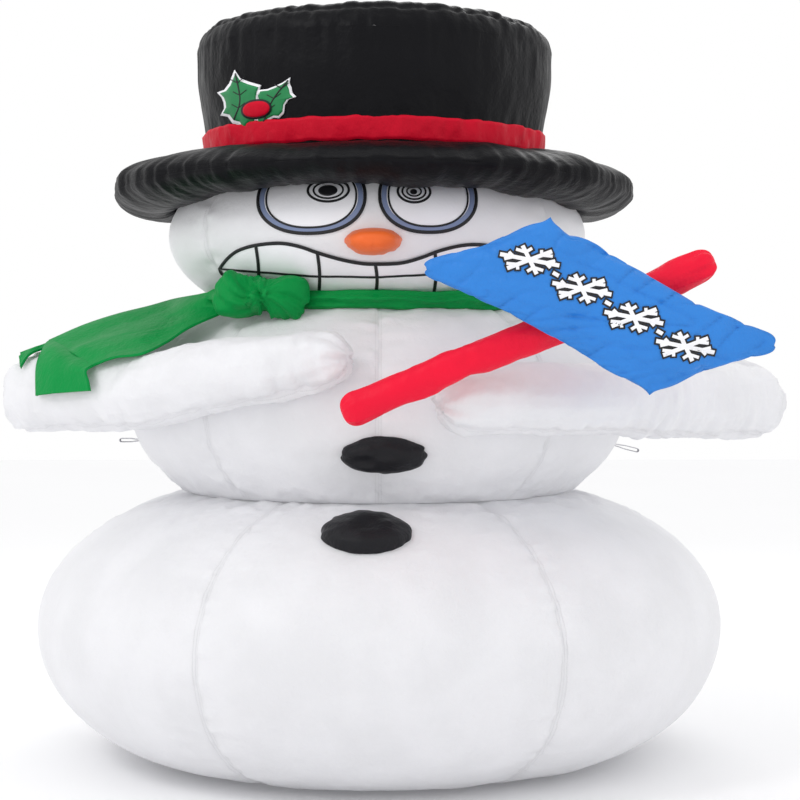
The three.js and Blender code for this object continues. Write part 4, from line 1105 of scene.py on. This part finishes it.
def sign_board():
    """A flat inflated pillow: two sheets sewn round their edge, then blown up so that the seam puckers."""
    columns, rows = 124, 68
    a, b = np.meshgrid(np.linspace(-1, 1, columns), np.linspace(-1, 1, rows))
    round_end = np.clip((np.sign(a) * b - 0.56) / 0.44, 0, 1) ** 3 * a ** 2
    round_side = np.clip((np.sign(b) * a - 0.78) / 0.22, 0, 1) ** 3 * b ** 2
    blunt = smooth(0.55, 1.0, -a * b)
    wide = a * (1 - 0.078 * round_end - 0.016 * blunt)
    tall = b * (1 - 0.130 * round_side - 0.060 * blunt)
    x = SIGN_LONG[0] * wide + SIGN_SHORT[0] * tall
    z = SIGN_LONG[1] * wide + SIGN_SHORT[1] * tall
    start = (0.004 + 0.0012 * noise(315, a * 12, b * 6, 0)) * (1 - a ** 8) * (1 - b ** 8)
    inside = (np.abs(a) <= 0.999) & (np.abs(b) <= 0.999)
    front_index = np.arange(rows * columns).reshape(rows, columns)
    back_index = front_index.copy()
    back_index[inside] = rows * columns + np.arange(inside.sum())
    points = np.concatenate([np.stack([x, -start, z], axis=-1).reshape(-1, 3),
                             np.stack([x, start, z], axis=-1)[inside]])
    faces = []
    for i in range(rows - 1):
        for j in range(columns - 1):
            corners = ((i, j), (i, j + 1), (i + 1, j + 1), (i + 1, j))
            faces.append(tuple(int(front_index[c]) for c in corners))
            faces.append(tuple(int(back_index[c]) for c in corners[::-1]))
    points = inflated(points, faces, 6.0, 24)
    along = points[:, [0, 2]] @ np.linalg.inv(np.stack([SIGN_LONG, SIGN_SHORT], axis=1)).T
    sheet = np.abs(along[:rows * columns]).reshape(rows, columns, 2)
    along = along / np.array([sheet[rows // 2, 0, 0], sheet[0, columns // 2, 1]]) * np.array([0.995, 0.955])
    flat = SIGN_MIDDLE + along[:, :1] * SIGN_LONG + along[:, 1:] * SIGN_SHORT
    depth = points[:, 1] * (SIGN_HALF + 0.003) / np.abs(points[:, 1]).max()
    depth = depth + np.where(depth < 0, sign_creases(along[:, 0], along[:, 1]) * smooth(0, 0.012, -depth), 0)
    points = np.stack([flat[:, 0], SIGN_Y + depth, flat[:, 1]], axis=1)
    gap = np.minimum((1 - np.abs(a)) * 0.27, (1 - np.abs(b)) * 0.145)
    run = a * 0.27 + b * 0.145
    marks = {key: np.concatenate([value.reshape(-1), value[inside]])
             for key, value in (("seam", gap), ("run", run))}
    piece = new_piece("sign_board_cloth", points, faces, "blue", "sign_board", attributes=marks)
    return BVHTree.FromPolygons([tuple(p) for p in points], faces)


def snowflakes(skin):
    """Four printed snowflakes with short bars between them, white with a dark edge."""
    def on_sign(x, z, lift):
        hits = [skin.ray_cast((px, 2 * SIGN_Y, pz), (0, 1, 0))[0] for px, pz in zip(x.ravel(), z.ravel())]
        depth = np.array([hit.y for hit in hits]).reshape(x.shape)
        return np.stack([x, depth - lift, z], axis=-1)

    along, across = unit(SIGN_LONG), unit(SIGN_SHORT)
    white, dark = [], []

    def spoke(degrees):
        angle = math.radians(degrees)
        return along * math.cos(angle) + across * math.sin(angle)

    def stroke(start, end, width):
        white.append(ribbon(np.linspace(start, end, 14), width, on_sign, 0.0032))
        reach = unit(end - start) * 0.0035
        dark.append(ribbon(np.linspace(start - reach, end + reach, 14), width + 0.008, on_sign, 0.0022))

    middle = SIGN_MIDDLE + SIGN_SHORT * 0.10
    for place in (-0.69, -0.23, 0.23, 0.69):
        centre = middle + SIGN_LONG * place
        for turn in range(30, 390, 60):
            stroke(centre, centre + spoke(turn) * 0.050, 0.0086)
            root = centre + spoke(turn) * 0.027
            for lean in (-48, 48):
                stroke(root, root + spoke(turn + lean) * 0.018, 0.0066)
    for place in (-0.46, 0.0, 0.46):
        centre = middle + SIGN_LONG * place
        stroke(centre - along * 0.007, centre + along * 0.007, 0.008)
    joined_piece("snowflake_edges", dark, "ink")
    joined_piece("snowflakes", white, "print")


sign_post()
snowflakes(sign_board())


# ---------- scarf ----------

def neck_band():
    """The scarf round the neck: doubled cloth, rolled into a few soft folds that run round it."""
    outer, foot, top = (ring_high[0] - ring_low[0]) / 2, ring_low[2], ring_high[2]
    t, turn = rows_and_turns(np.linspace(0, 1, 40), 420)
    c, s = np.cos(turn), np.sin(turn)
    round_off = np.sqrt(np.clip(1 - np.abs(2 * t - 1) ** 2.6, 0, 1))
    fold = np.sin((t * 2.1 + 0.5 * noise(401, c * 2.2, s * 2.2, 0)) * 2 * np.pi)
    radius = outer - 0.044 + (0.044 + 0.0055 * fold) * round_off + 0.003 * noise(402, c * 16, s * 16, t * 5)
    radius = np.where(t > 0.93, outer - 0.05 - (t - 0.93) * 0.5, radius)
    height = foot - 0.002 + (top - foot + 0.006) * t + 0.003 * noise(403, c * 7, s * 7, t * 2)
    piece = grid_piece("scarf_neck_cloth", about(TORSO_X, radius, turn, height), "green", "scarf_neck_band",
                       closed=True)


# The knot's three lumps, the last one its middle: place and half sizes.
KNOT = [((-0.322, -0.392, 1.132), (0.070, 0.050, 0.058)), ((-0.224, -0.432, 1.122), (0.066, 0.044, 0.052)),
        ((-0.272, -0.418, 1.128), (0.034, 0.058, 0.048))]


def ball_shape(at, size, segments=26, rings=16):
    t, turn = rows_and_turns(np.linspace(-np.pi / 2, np.pi / 2, rings), segments)
    round_ball = np.stack([np.cos(t) * np.cos(turn), np.cos(t) * np.sin(turn), np.sin(t)], axis=-1)
    round_ball[0, :, :2] *= 0.001
    points = np.array(at) + round_ball * np.array(size)
    return points.reshape(-1, 3), with_ends(grid_faces(rings, segments, True), rings, segments)


def scarf_knot():
    """A soft overhand knot: two crossing turns of cloth with folds that run into its middle."""
    points, normals, faces = fused([ball_shape(at, size) for at, size in KNOT], 0.0042, 8)
    offset = points - np.array(KNOT[2][0])
    reach = np.linalg.norm(offset, axis=1)
    twist = np.arctan2(offset[:, 2], offset[:, 0]) + reach * 9
    c, s = np.cos(twist), np.sin(twist)
    x, z = points[:, 0], points[:, 2]
    off = 0.011 * noise(411, c * 3.1, s * 3.1, reach / 0.09) + 0.004 * noise(412, c * 7, s * 7, reach / 0.05)
    off += 0.003 * noise(413, *(points / 0.035).T)
    off -= 0.016 * hill(x + 0.276 + 0.25 * (z - 1.125), 0.010)
    off += 0.007 * hill(z - 1.128 - 0.35 * (x + 0.272), 0.020)
    piece = new_piece("scarf_knot_cloth", points + normals * off[:, None], faces, "green", "scarf_knot")


def folded_cloth(name, node, back, front, body, bulge, folds, seed, steps=90, across=34, flat_end=None):
    """A doubled length of scarf between two edges, with folds along it and a rolled hem round it."""
    a, b = catmull(back, steps), catmull(front, steps)
    up = unit(np.cross(np.gradient((a + b) / 2, axis=0), b - a))
    up = np.where((up[:, 2] - 0.4 * up[:, 0] < 0)[:, None], -up, up)
    length = run_along((a + b) / 2)
    width = np.linalg.norm(b - a, axis=1)
    from_flat = {None: np.full(steps, np.inf), "start": length, "end": length[-1] - length}[flat_end]
    hold = 0.4 + 0.6 * smooth(0, 0.035, from_flat)
    u = np.linspace(0, 1, across)[None]
    run = length[:, None]
    folded = 0.010 * noise(seed, run / 0.30, u * folds, 2) + 0.0024 * noise(seed + 1, run / 0.045, u * 5, 5)
    middle = (bulge * np.sin(np.pi * u) + folded * np.sin(np.pi * u) ** 0.5) * hold[:, None]
    half = 0.0016 + 0.0016 * hill(np.minimum(u, 1 - u) * width[:, None], 0.006)
    layers = []
    for side in (1, -1):
        rise = middle + side * half + 0.0025
        layers.append((a[:, None] + (b - a)[:, None] * u[..., None]
                       + up[:, None] * rise[..., None]).reshape(-1, 3))
    count = steps * across
    faces = grid_faces(steps, across)
    faces += [tuple(i + count for i in f[::-1]) for f in faces]
    first, last = across * np.arange(steps), across * np.arange(steps) + across - 1
    start, end = np.arange(across), count - across + np.arange(across)
    for edge in (first, last[::-1], start[::-1], end):
        edge = [int(k) for k in edge]
        faces += [(k, m, m + count, k + count) for k, m in zip(edge, edge[1:])]
    piece = new_piece(name, np.concatenate(layers), faces, "green", node, body)
    area = surface_area(piece) / 2
    long = float(length[-1])
    wide = max(float(width.max()), area / long * 1.01)
    return piece, (wide, long), area


TAIL_BACK = [(-0.390, -0.330, 1.150), (-0.428, -0.262, 1.137), (-0.508, -0.118, 1.129),
             (-0.572, -0.118, 1.111), (-0.648, -0.136, 1.091), (-0.726, -0.166, 1.063),
             (-0.801, -0.212, 1.026)]
TAIL_FRONT = [(-0.345, -0.372, 1.100), (-0.374, -0.350, 1.089), (-0.442, -0.406, 1.055),
              (-0.490, -0.454, 1.020), (-0.541, -0.503, 0.993), (-0.605, -0.484, 0.985),
              (-0.659, -0.461, 0.966)]
END_BACK = [(-0.798, -0.211, 1.0275), (-0.807, -0.240, 1.013), (-0.812, -0.308, 0.966),
            (-0.805, -0.356, 0.897)]
END_FRONT = [(-0.655, -0.462, 0.9675), (-0.669, -0.481, 0.956), (-0.664, -0.481, 0.934),
             (-0.660, -0.477, 0.911)]
UNDER_BACK = [(-0.780, -0.170, 1.026), (-0.808, -0.178, 1.015), (-0.838, -0.192, 1.009),
              (-0.870, -0.212, 0.996)]
UNDER_FRONT = [(-0.796, -0.224, 1.010), (-0.818, -0.238, 1.005), (-0.840, -0.268, 0.991),
               (-0.854, -0.296, 0.961)]


def scarf_tail():
    piece, flat, area = folded_cloth("scarf_tail_cloth", "scarf_tail", TAIL_BACK, TAIL_FRONT, None, 0.008,
                                     3.2, 421, flat_end="end")
    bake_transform(piece)
    piece, flat, area = folded_cloth("scarf_end_cloth", "scarf_tail_end", END_BACK, END_FRONT, None, 0.004,
                                     3.2, 431, 50, flat_end="start")
    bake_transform(piece)
    piece, flat, area = folded_cloth("scarf_under_cloth", "scarf_under_tail", UNDER_BACK, UNDER_FRONT,
                                     "scarf_tail", 0.002, 2.0, 441, 40, 20)


neck_band()
scarf_knot()
scarf_tail()


# ---------- webbing loops ----------

STRAP_HALF, STRAP_THICK, STRAP_WIDE = 0.0055, 0.0022, 0.025


def block(centre, size, axes, round_off):
    """A small block with rounded edges on the given axes, as vertices and faces."""
    shape = bmesh.new()
    bmesh.ops.create_cube(shape, size=1.0)
    for vertex in shape.verts:
        vertex.co = Vector([c * s for c, s in zip(vertex.co, size)])
    bmesh.ops.bevel(shape, geom=list(shape.edges), offset=round_off, segments=2, affect="EDGES", profile=0.5)
    axes = np.array([np.array(a, float) for a in axes])
    vertices = [np.array(centre, float) + np.array(v.co) @ axes for v in shape.verts]
    faces = [tuple(v.index for v in f.verts) for f in shape.faces]
    shape.free()
    return vertices, faces


def strap_path(middle, reach):
    """The strap's centre line seen from its edge: down, round the far bend, back, and round the root."""
    bend = np.linspace(0, np.pi, 22)[:-1]
    straight = np.linspace(0.0, 1.0, 24)[:-1]
    return np.array([(middle, -t * reach) for t in straight]
                    + [(middle * np.cos(b), -reach - middle * np.sin(b)) for b in bend]
                    + [(-middle, -(1 - t) * reach) for t in straight]
                    + [(-middle * np.cos(b), middle * np.sin(b)) for b in bend])


def strap_loop(node, body, joint, down, wide, length):
    """A strap folded back on itself and stitched together at its root, open at its far end."""
    pivot, down, wide = joint_place(joint), np.array(down, float), np.array(wide, float)
    side = np.cross(wide, down)
    middle = STRAP_HALF - STRAP_THICK / 2
    reach = length - 2 * STRAP_HALF
    path = strap_path(middle, reach)
    ahead = unit(np.roll(path, -1, axis=0) - np.roll(path, 1, axis=0))
    outward = np.stack([ahead[:, 1], -ahead[:, 0]], axis=1)
    outward *= np.sign((outward * path).sum(axis=1).mean())
    across = np.linspace(-1, 1, 12)
    half = STRAP_THICK / 2 * np.sqrt(np.clip(1 - np.abs(across) ** 8, 0.12, 1))
    ring_wide, ring_thick = np.concatenate([across, across[::-1]]), np.concatenate([half, -half[::-1]])
    hold = 0.55 + 0.45 * smooth(0.10 * reach, 0.45 * reach, -path[:, 1])
    x = (path[:, 0] * hold)[:, None] + outward[:, :1] * ring_thick
    y = path[:, 1:] + outward[:, 1:] * ring_thick
    z = ring_wide * (STRAP_WIDE / 2 - 0.0002) + 0.0006 * np.sin(path[:, 1:] * 260)
    points = pivot + x[..., None] * side - y[..., None] * down + z[..., None] * wide
    faces = grid_faces(*x.shape, True, True)
    new_piece(node + "_strap", points.reshape(-1, 3), faces, "webbing", node, body)
    threads = []
    for row in (0.12, 0.26):
        for k in np.linspace(-0.72, 0.72, 7):
            for face in (-1, 1):
                spot = pivot + down * reach * row + wide * k * STRAP_WIDE / 2
                spot = spot + side * face * (middle * 0.62 + STRAP_THICK / 2)
                threads.append(block(spot, (0.0024, 0.0009, 0.0008), (wide, down, side), 0.0003))
    joined_piece(node + "_stitches", threads, "print", body=body, slot="webbing")


DROOP = math.radians(14)
strap_loop("tether_tab_left", "tether_left", "tether_left_flap", (-1, 0, 0), (0, 1, 0), 0.052)
strap_loop("tether_tab_right", "tether_right", "tether_right_flap",
           (math.cos(DROOP), 0, -math.sin(DROOP)), (0, 1, 0), 0.066)
for place, across in (("side_right", (0, 1, 0)), ("side_left", (0, 1, 0)), ("back_right", (1, 0, 0)),
                      ("back_left", (1, 0, 0))):
    strap_loop("stake_loop_" + place, "stake_" + place, "stake_%s_swing" % place, (0, 0, -1), across, 0.031)


# ---------- fan ----------

FAN_AXIS = unit(np.array(joint_of("impeller_spin")["axis"]))
FAN_AXIS = FAN_AXIS * np.sign(FAN_AXIS[1])
FAN_SIDE = np.array([1.0, 0.0, 0.0])
FAN_UP = np.cross(FAN_SIDE, FAN_AXIS)
FAN_UP = FAN_UP * np.sign(FAN_UP[2])
FAN_AXES = (FAN_SIDE, FAN_UP, FAN_AXIS)
FAN_SEAT = joint_place("impeller_spin") + FAN_AXIS * 0.040
FAN_BORE = FAN_BARREL - 0.003


def in_fan(x, up, depth):
    """A point given across, up and outward from the middle of the flange's inner face."""
    return (FAN_SEAT + np.multiply.outer(x, FAN_SIDE) + np.multiply.outer(up, FAN_UP)
            + np.multiply.outer(depth, FAN_AXIS))


def rounded(corners, radius):
    """A closed outline with each corner rounded off by two short steps."""
    result = []
    count = len(corners)
    for i in range(count):
        before, at, after = (np.array(corners[(i + k) % count], float) for k in (-1, 0, 1))
        for towards, share in ((before, 1.0), (before, 0.32), (after, 0.32), (after, 1.0)):
            gap = np.linalg.norm(towards - at)
            result.append(at + (towards - at) / gap * min(radius, 0.45 * gap) * share)
    return result


def turned(corners, round_off, segments=96, ripple=None):
    """A closed (radius, depth) outline with rounded corners, turned about the fan's axis."""
    profile = np.array(rounded(corners, round_off))
    turn = full_turn(segments)
    radius = profile[:, :1] * np.ones(segments)
    if ripple is not None:
        radius = radius + ripple(profile[:, :1], turn)
    points = in_fan(radius * np.cos(turn), radius * np.sin(turn), profile[:, 1:] + 0 * turn)
    faces = [(a, d, c, b) for a, b, c, d in grid_faces(len(profile), segments, True, True)]
    return points.reshape(-1, 3), faces


def bar(start, end, radius, segments=12):
    """A round bar with domed ends between two points."""
    return capsule(start, radius * 1.0001, end, radius, segments)


def fan_housing():
    parts = [turned([(FAN_BORE, -FAN_DEPTH), (FAN_BARREL, -FAN_DEPTH), (FAN_BARREL, -0.001),
                     (FAN_FLANGE, -0.0), (FAN_FLANGE, 0.0045), (0.1085, 0.006), (0.098, 0.006),
                     (0.0965, 0.0046), (0.0945, 0.0046),
                     (0.093, 0.006), (FAN_BORE + 0.003, 0.006), (FAN_BORE, 0.003)], 0.0008),
             turned([(0.005, -0.125), (0.035, -0.125), (0.035, -0.119), (0.005, -0.119)], 0.001, 64)]
    for degrees in range(0, 360, 60):
        angle = math.radians(degrees)
        along = FAN_SIDE * math.cos(angle) + FAN_UP * math.sin(angle)
        around = np.cross(FAN_AXIS, along)
        middle = FAN_SEAT + along * 0.058 + FAN_AXIS * -0.122
        parts.append(block(middle, (0.047, 0.008, 0.005), (along, around, FAN_AXIS), 0.001))
    joined_piece("fan_housing", parts, "plastic", "blower_housing")
    screws = []
    for turn in range(8):
        angle = math.radians(45 * turn + 22.5)
        screws.append(screw_head(in_fan(0.1035 * math.cos(angle), 0.1035 * math.sin(angle), 0.0062), 0.0042))
    joined_piece("fan_screws", screws, "steel")


def screw_head(at, radius):
    """A small pan-head screw with a cross cut into it."""
    rings = [(1.0, 0.0), (1.0, 0.25), (0.86, 0.45), (0.6, 0.55), (0.35, 0.58)]
    turn = full_turn(24)
    circle = np.outer(np.cos(turn), FAN_SIDE) + np.outer(np.sin(turn), FAN_UP)
    cross = 0.35 * radius * (np.abs(np.cos(2 * turn)) > 0.86)
    points = []
    for share, rise in rings:
        height = rise * radius - (cross if share < 0.7 else 0 * turn)
        points.append(at + share * radius * circle + np.multiply.outer(height, FAN_AXIS))
    vertices = np.concatenate(points + [[at + FAN_AXIS * radius * 0.25]])
    last = (len(rings) - 1) * 24
    fan = [(last + j, last + (j + 1) % 24, len(vertices) - 1) for j in range(24)]
    return vertices, grid_faces(len(rings), 24, True) + fan


def fan_grille():
    rim = FAN_BORE - 0.0065
    parts = [turned([(rim - 0.0025, -0.009), (rim + 0.0025, -0.009), (rim + 0.0025, -0.003),
                     (rim - 0.0025, -0.003)],
                    0.0012)]
    for up in np.arange(-3, 4) * 0.020:
        half = math.sqrt(rim ** 2 - up ** 2)
        parts.append(bar(in_fan(-half, up, -0.006), in_fan(half, up, -0.006), 0.0019))
    parts.append(bar(in_fan(0, -rim, -0.0062), in_fan(0, rim, -0.0062), 0.0025))
    parts.append(turned([(0.0005, -0.0086), (0.014, -0.0086), (0.014, -0.0042), (0.0005, -0.0036)],
                        0.0012, 48))
    joined_piece("fan_grille", parts, "plastic", "blower_grille")


def fan_wheel():
    """Seven blades, each twisted along its length and curved across, on a domed hub."""
    top, deep = -0.024, 0.034
    root, span_out = 0.019, 0.0515
    parts = [turned([(0.0041, top - deep), (0.022, top - deep), (0.022, top - 0.006), (0.016, top - 0.0012),
                     (0.0041, top)], 0.002, 64)]
    rows, columns = 12, 18
    count = rows * columns
    r, v = np.meshgrid(np.linspace(root, root + span_out, columns), np.linspace(-1, 1, rows))
    out = (r - root) / span_out
    pitch = np.radians(46 - 24 * out)
    chord = 0.0145 * (0.8 + 0.5 * np.sin(np.pi * (r - root) / 0.075)) * np.clip(1.06 - np.abs(v) * 0.04, 0, 1)
    camber = 0.0026 * (1 - v * v)
    depth = top - deep / 2 + v * chord * np.sin(pitch) + camber * np.cos(pitch)
    lean = 0.16 * out ** 2 + (v * chord * np.cos(pitch) - camber * np.sin(pitch)) / r
    faces = grid_faces(rows, columns)
    faces += [tuple(i + count for i in f[::-1]) for f in faces]
    edge = [i * columns for i in range(rows)] + [(rows - 1) * columns + j for j in range(1, columns)]
    edge += [i * columns + columns - 1 for i in range(rows - 2, -1, -1)] + list(range(columns - 2, 0, -1))
    faces += [(k, m, m + count, k + count) for k, m in zip(edge, edge[1:] + edge[:1])]
    for blade in range(7):
        turn = 2 * math.pi * blade / 7 + lean
        layers = [in_fan(r * np.cos(turn), r * np.sin(turn), np.clip(depth + thick, top - deep, top))
                  for thick in (0.0008, -0.0008)]
        parts.append((np.concatenate([layer.reshape(-1, 3) for layer in layers]), faces))
    joined_piece("fan_wheel", parts, "impeller", "blower_impeller", "impeller")


def fan_motor():
    can = turned([(0.0046, -0.118), (0.026, -0.118), (0.031, -0.113), (0.031, -0.100), (0.0302, -0.099),
                  (0.0302, -0.086), (0.031, -0.085), (0.031, -0.071), (0.026, -0.066), (0.0046, -0.066)],
                  0.0012, 72)
    joined_piece("fan_motor_can", [can], "steel", "blower_motor")


def fan_clamp():
    """The ring that holds the cloth on the barrel from inside, with eight shallow notches in its edge."""
    bore, notch = FAN_BARREL + 0.0004, 0.0012
    ring = turned([(bore, -0.046), (0.1075, -0.046), (0.1075, -0.0395), (0.097, -0.0395), (0.094, -0.0405),
                   (bore, -0.0395)], 0.0008,
                  ripple=lambda radius, turn: np.where(radius > 0.1, -notch * (np.cos(8 * turn) < -0.7), 0.0))
    joined_piece("fan_clamp_ring", [ring], "plastic", "blower_clamp_ring")


def fan_inlet():
    """A moulded box on the flange with a round socket for a plug, pointing up."""
    out = 0.0133
    low, high = 0.105, 0.126
    turn = full_turn(40)
    # The socket's rings as (radius, height), up its outside and down its bore.
    rings = [(0.0060, low), (0.0060, low + 0.006), (0.0054, low + 0.0066), (0.0054, low + 0.0085),
             (0.0060, low + 0.009), (0.0060, high - 0.0006), (0.0056, high - 0.0001), (0.0046, high - 0.0001),
             (0.0043, high - 0.0006), (0.0043, high - 0.012), (0.0002, high - 0.012)]
    points = [in_fan(r * np.cos(turn), np.full(40, up), out + r * np.sin(turn)) for r, up in rings]
    parts = [block(in_fan(0.0, 0.096, out), (0.034, 0.024, 0.014), FAN_AXES, 0.003),
             (np.concatenate(points), [f[::-1] for f in grid_faces(len(rings), 40, True)])]
    joined_piece("power_inlet_shell", parts, "plastic", "power_inlet")
    pins = [bar(in_fan(x, high - 0.013, out), in_fan(x, high - 0.004, out), 0.0008, 10)
            for x in (-0.0022, 0.0022)]
    joined_piece("power_inlet_pins", pins, "steel")


fan_housing()
fan_grille()
fan_wheel()
fan_motor()
fan_clamp()
fan_inlet()


# ---------- zip ----------

# The zip runs up the seam at this angle, on an arc of its own; its ends are angles up from the arc's middle.
ZIP_ANGLE, ZIP_ARC, ZIP_MIDDLE, ZIP_WIDE = math.radians(152), 0.266, 0.330, 0.032
ZIP_FOOT, ZIP_TOP = -24.0, 22.0
ZIP_OUT = np.array([math.sin(ZIP_ANGLE), -math.cos(ZIP_ANGLE), 0.0])
ZIP_SIDE = np.array([math.cos(ZIP_ANGLE), math.sin(ZIP_ANGLE), 0.0])
UPRIGHT = np.array([0.0, 0.0, 1.0])


def on_zip(angle, off, across):
    """A point by its angle up the zip's arc, its height off the skin and its offset across the tape."""
    angle = np.radians(angle)
    reach = BASE_RADIUS - ZIP_ARC + (ZIP_ARC + off) * np.cos(angle)
    rise = ZIP_MIDDLE + (ZIP_ARC + off) * np.sin(angle)
    return (np.multiply.outer(reach, ZIP_OUT) + np.multiply.outer(across, ZIP_SIDE)
            + np.multiply.outer(rise, UPRIGHT))


def zip_axes(angle):
    """Outward, across and up the tape."""
    c, s = math.cos(math.radians(angle)), math.sin(math.radians(angle))
    return ZIP_OUT * c + UPRIGHT * s, ZIP_SIDE, UPRIGHT * c - ZIP_OUT * s


def zip_tape():
    """Two woven halves with a stitched edge each, and a coil of small teeth between them."""
    angle, across = np.meshgrid(np.linspace(ZIP_FOOT, ZIP_TOP, 120), np.linspace(-1, 1, 40), indexing="ij")
    off = 0.0016 + 0.0007 * noise(501, angle / 3.4, across * 2, 0) + 0.0004 * hill(np.abs(across) - 0.9, 0.05)
    off = off - 0.0007 * hill(across, 0.06) - 0.0006 * np.abs(across) ** 12
    piece = grid_piece("zip_tape", on_zip(angle, off, across * ZIP_WIDE / 2), "zipper", "zipper_tape")
    teeth = []
    pitch = math.degrees(0.0036 / ZIP_ARC)
    for k in range(int((ZIP_TOP - ZIP_FOOT - 2) / pitch)):
        at = ZIP_FOOT + 1 + k * pitch
        spot = on_zip(at, 0.0026, 0.0011 if k % 2 else -0.0011)
        teeth.append(block(spot, (0.0016, 0.0046, 0.0021), zip_axes(at), 0.0005))
    joined_piece("zip_teeth", teeth, "plastic", slot="zipper")


def zip_slider():
    """A cast slider: wide at its mouth, with a bridge over it, and a pull with a hole in its end."""
    angle = ZIP_TOP - 4
    out, side, up = axes = zip_axes(angle)
    seat = on_zip(angle, 0.0, 0.0)
    parts = [block(seat + out * 0.0045, (0.0026, 0.013, 0.022), axes, 0.0010)]
    for shift in (-0.0048, 0.0048):
        parts.append(block(seat + out * 0.0062 + side * shift, (0.0030, 0.0028, 0.020), axes, 0.0009))
    arch = [seat + out * (0.0068 + 0.0028 * math.sin(a)) + up * 0.0075 * math.cos(a)
            for a in np.linspace(0, math.pi, 9)]
    parts += [bar(a, b, 0.0009, 10) for a, b in zip(arch, arch[1:])]
    joined_piece("zip_slider_body", parts, "steel", "zipper_slider", "slider")
    length, half, hole_radius = 0.034, 0.0040, 0.0019
    lift = 0.0128
    turn = full_turn(64)
    c, s = np.cos(turn), np.sin(turn)
    outline = np.stack([half * c * (0.86 + 0.14 * c ** 2), np.sign(s) * (length / 2 - half) + half * s],
                       axis=1)
    hole = np.stack([hole_radius * c, -length / 2 + 0.0055 + hole_radius * s], axis=1)
    rings = [seat + out * (lift + depth) + np.multiply.outer(loop[:, 0], side)
             + np.multiply.outer(loop[:, 1] - 0.015, up)
             for depth, loop in ((-0.0009, hole), (-0.0011, outline * 0.93), (-0.0007, outline),
                                 (0.0007, outline), (0.0011, outline * 0.93), (0.0009, hole))]
    new_piece("zip_pull_tab", np.concatenate(rings), grid_faces(6, 64, True, True), "steel", "zipper_pull",
              "pull")


zip_tape()
zip_slider()


# ---------- stage, light and camera ----------

def stage():
    side, drop = 14.0, -0.0005
    floor = new_mesh("studio_floor", [(-side, -side, drop), (side, -side, drop), (side, side, drop),
                                      (-side, side, drop)], [(0, 1, 2, 3)], "print")
    n = Nodes("studio_floor")
    n.shade({"Base Color": n.mix(n.noise(0.6), linear(250, 250, 251), linear(252, 252, 253)),
             "Roughness": 0.9})
    floor.data.materials[0] = n.material
    world = bpy.data.worlds.new("studio")
    world.use_nodes = True
    background = world.node_tree.nodes["Background"]
    background.inputs[0].default_value = (1.0, 1.0, 1.0, 1.0)
    background.inputs[1].default_value = 1.0
    bpy.context.scene.world = world


def area_light(name, place, target, size, power):
    data = bpy.data.lights.new(name, "AREA")
    data.shape = "RECTANGLE"
    data.size, data.size_y = size
    data.energy = power
    lamp = bpy.data.objects.new(name, data)
    bpy.context.scene.collection.objects.link(lamp)
    lamp.location = place
    lamp.rotation_euler = (Vector(target) - Vector(place)).to_track_quat("-Z", "Y").to_euler()


def camera():
    data = bpy.data.cameras.new("camera")
    data.sensor_width = 36.0
    data.lens = 83.9
    eye = bpy.data.objects.new("camera", data)
    bpy.context.scene.collection.objects.link(eye)
    eye.location = (0.0, -4.74, 0.975)
    eye.rotation_euler = (math.radians(90 - 1.14), 0.0, math.radians(-0.61))
    bpy.context.scene.camera = eye


stage()
area_light("key", (-3.0, -2.9, 4.0), (0, 0, 0.9), (1.2, 1.2), 40)
area_light("fill", (3.4, -3.0, 1.8), (0, 0, 0.8), (2.6, 2.6), 6)
area_light("rim", (0.5, 3.4, 3.4), (0, 0, 1.0), (2.4, 1.6), 20)
camera()
bpy.context.scene.view_settings.view_transform = "Standard"

# The CAD nodes that no piece stands for take the plain look of their slot.
# Their white cloth has no seam marks, so it takes the sleeve's look.
for entry in frame["record"]["subparts"]:
    slot_name = entry["material_slot"]
    look = MATERIALS["sleeve" if slot_name == "white" else slot_name]
    materials = frame["nodes"][entry["node"]].data.materials
    for index in range(len(materials)):
        materials[index] = look
    if not materials:
        materials.append(look)
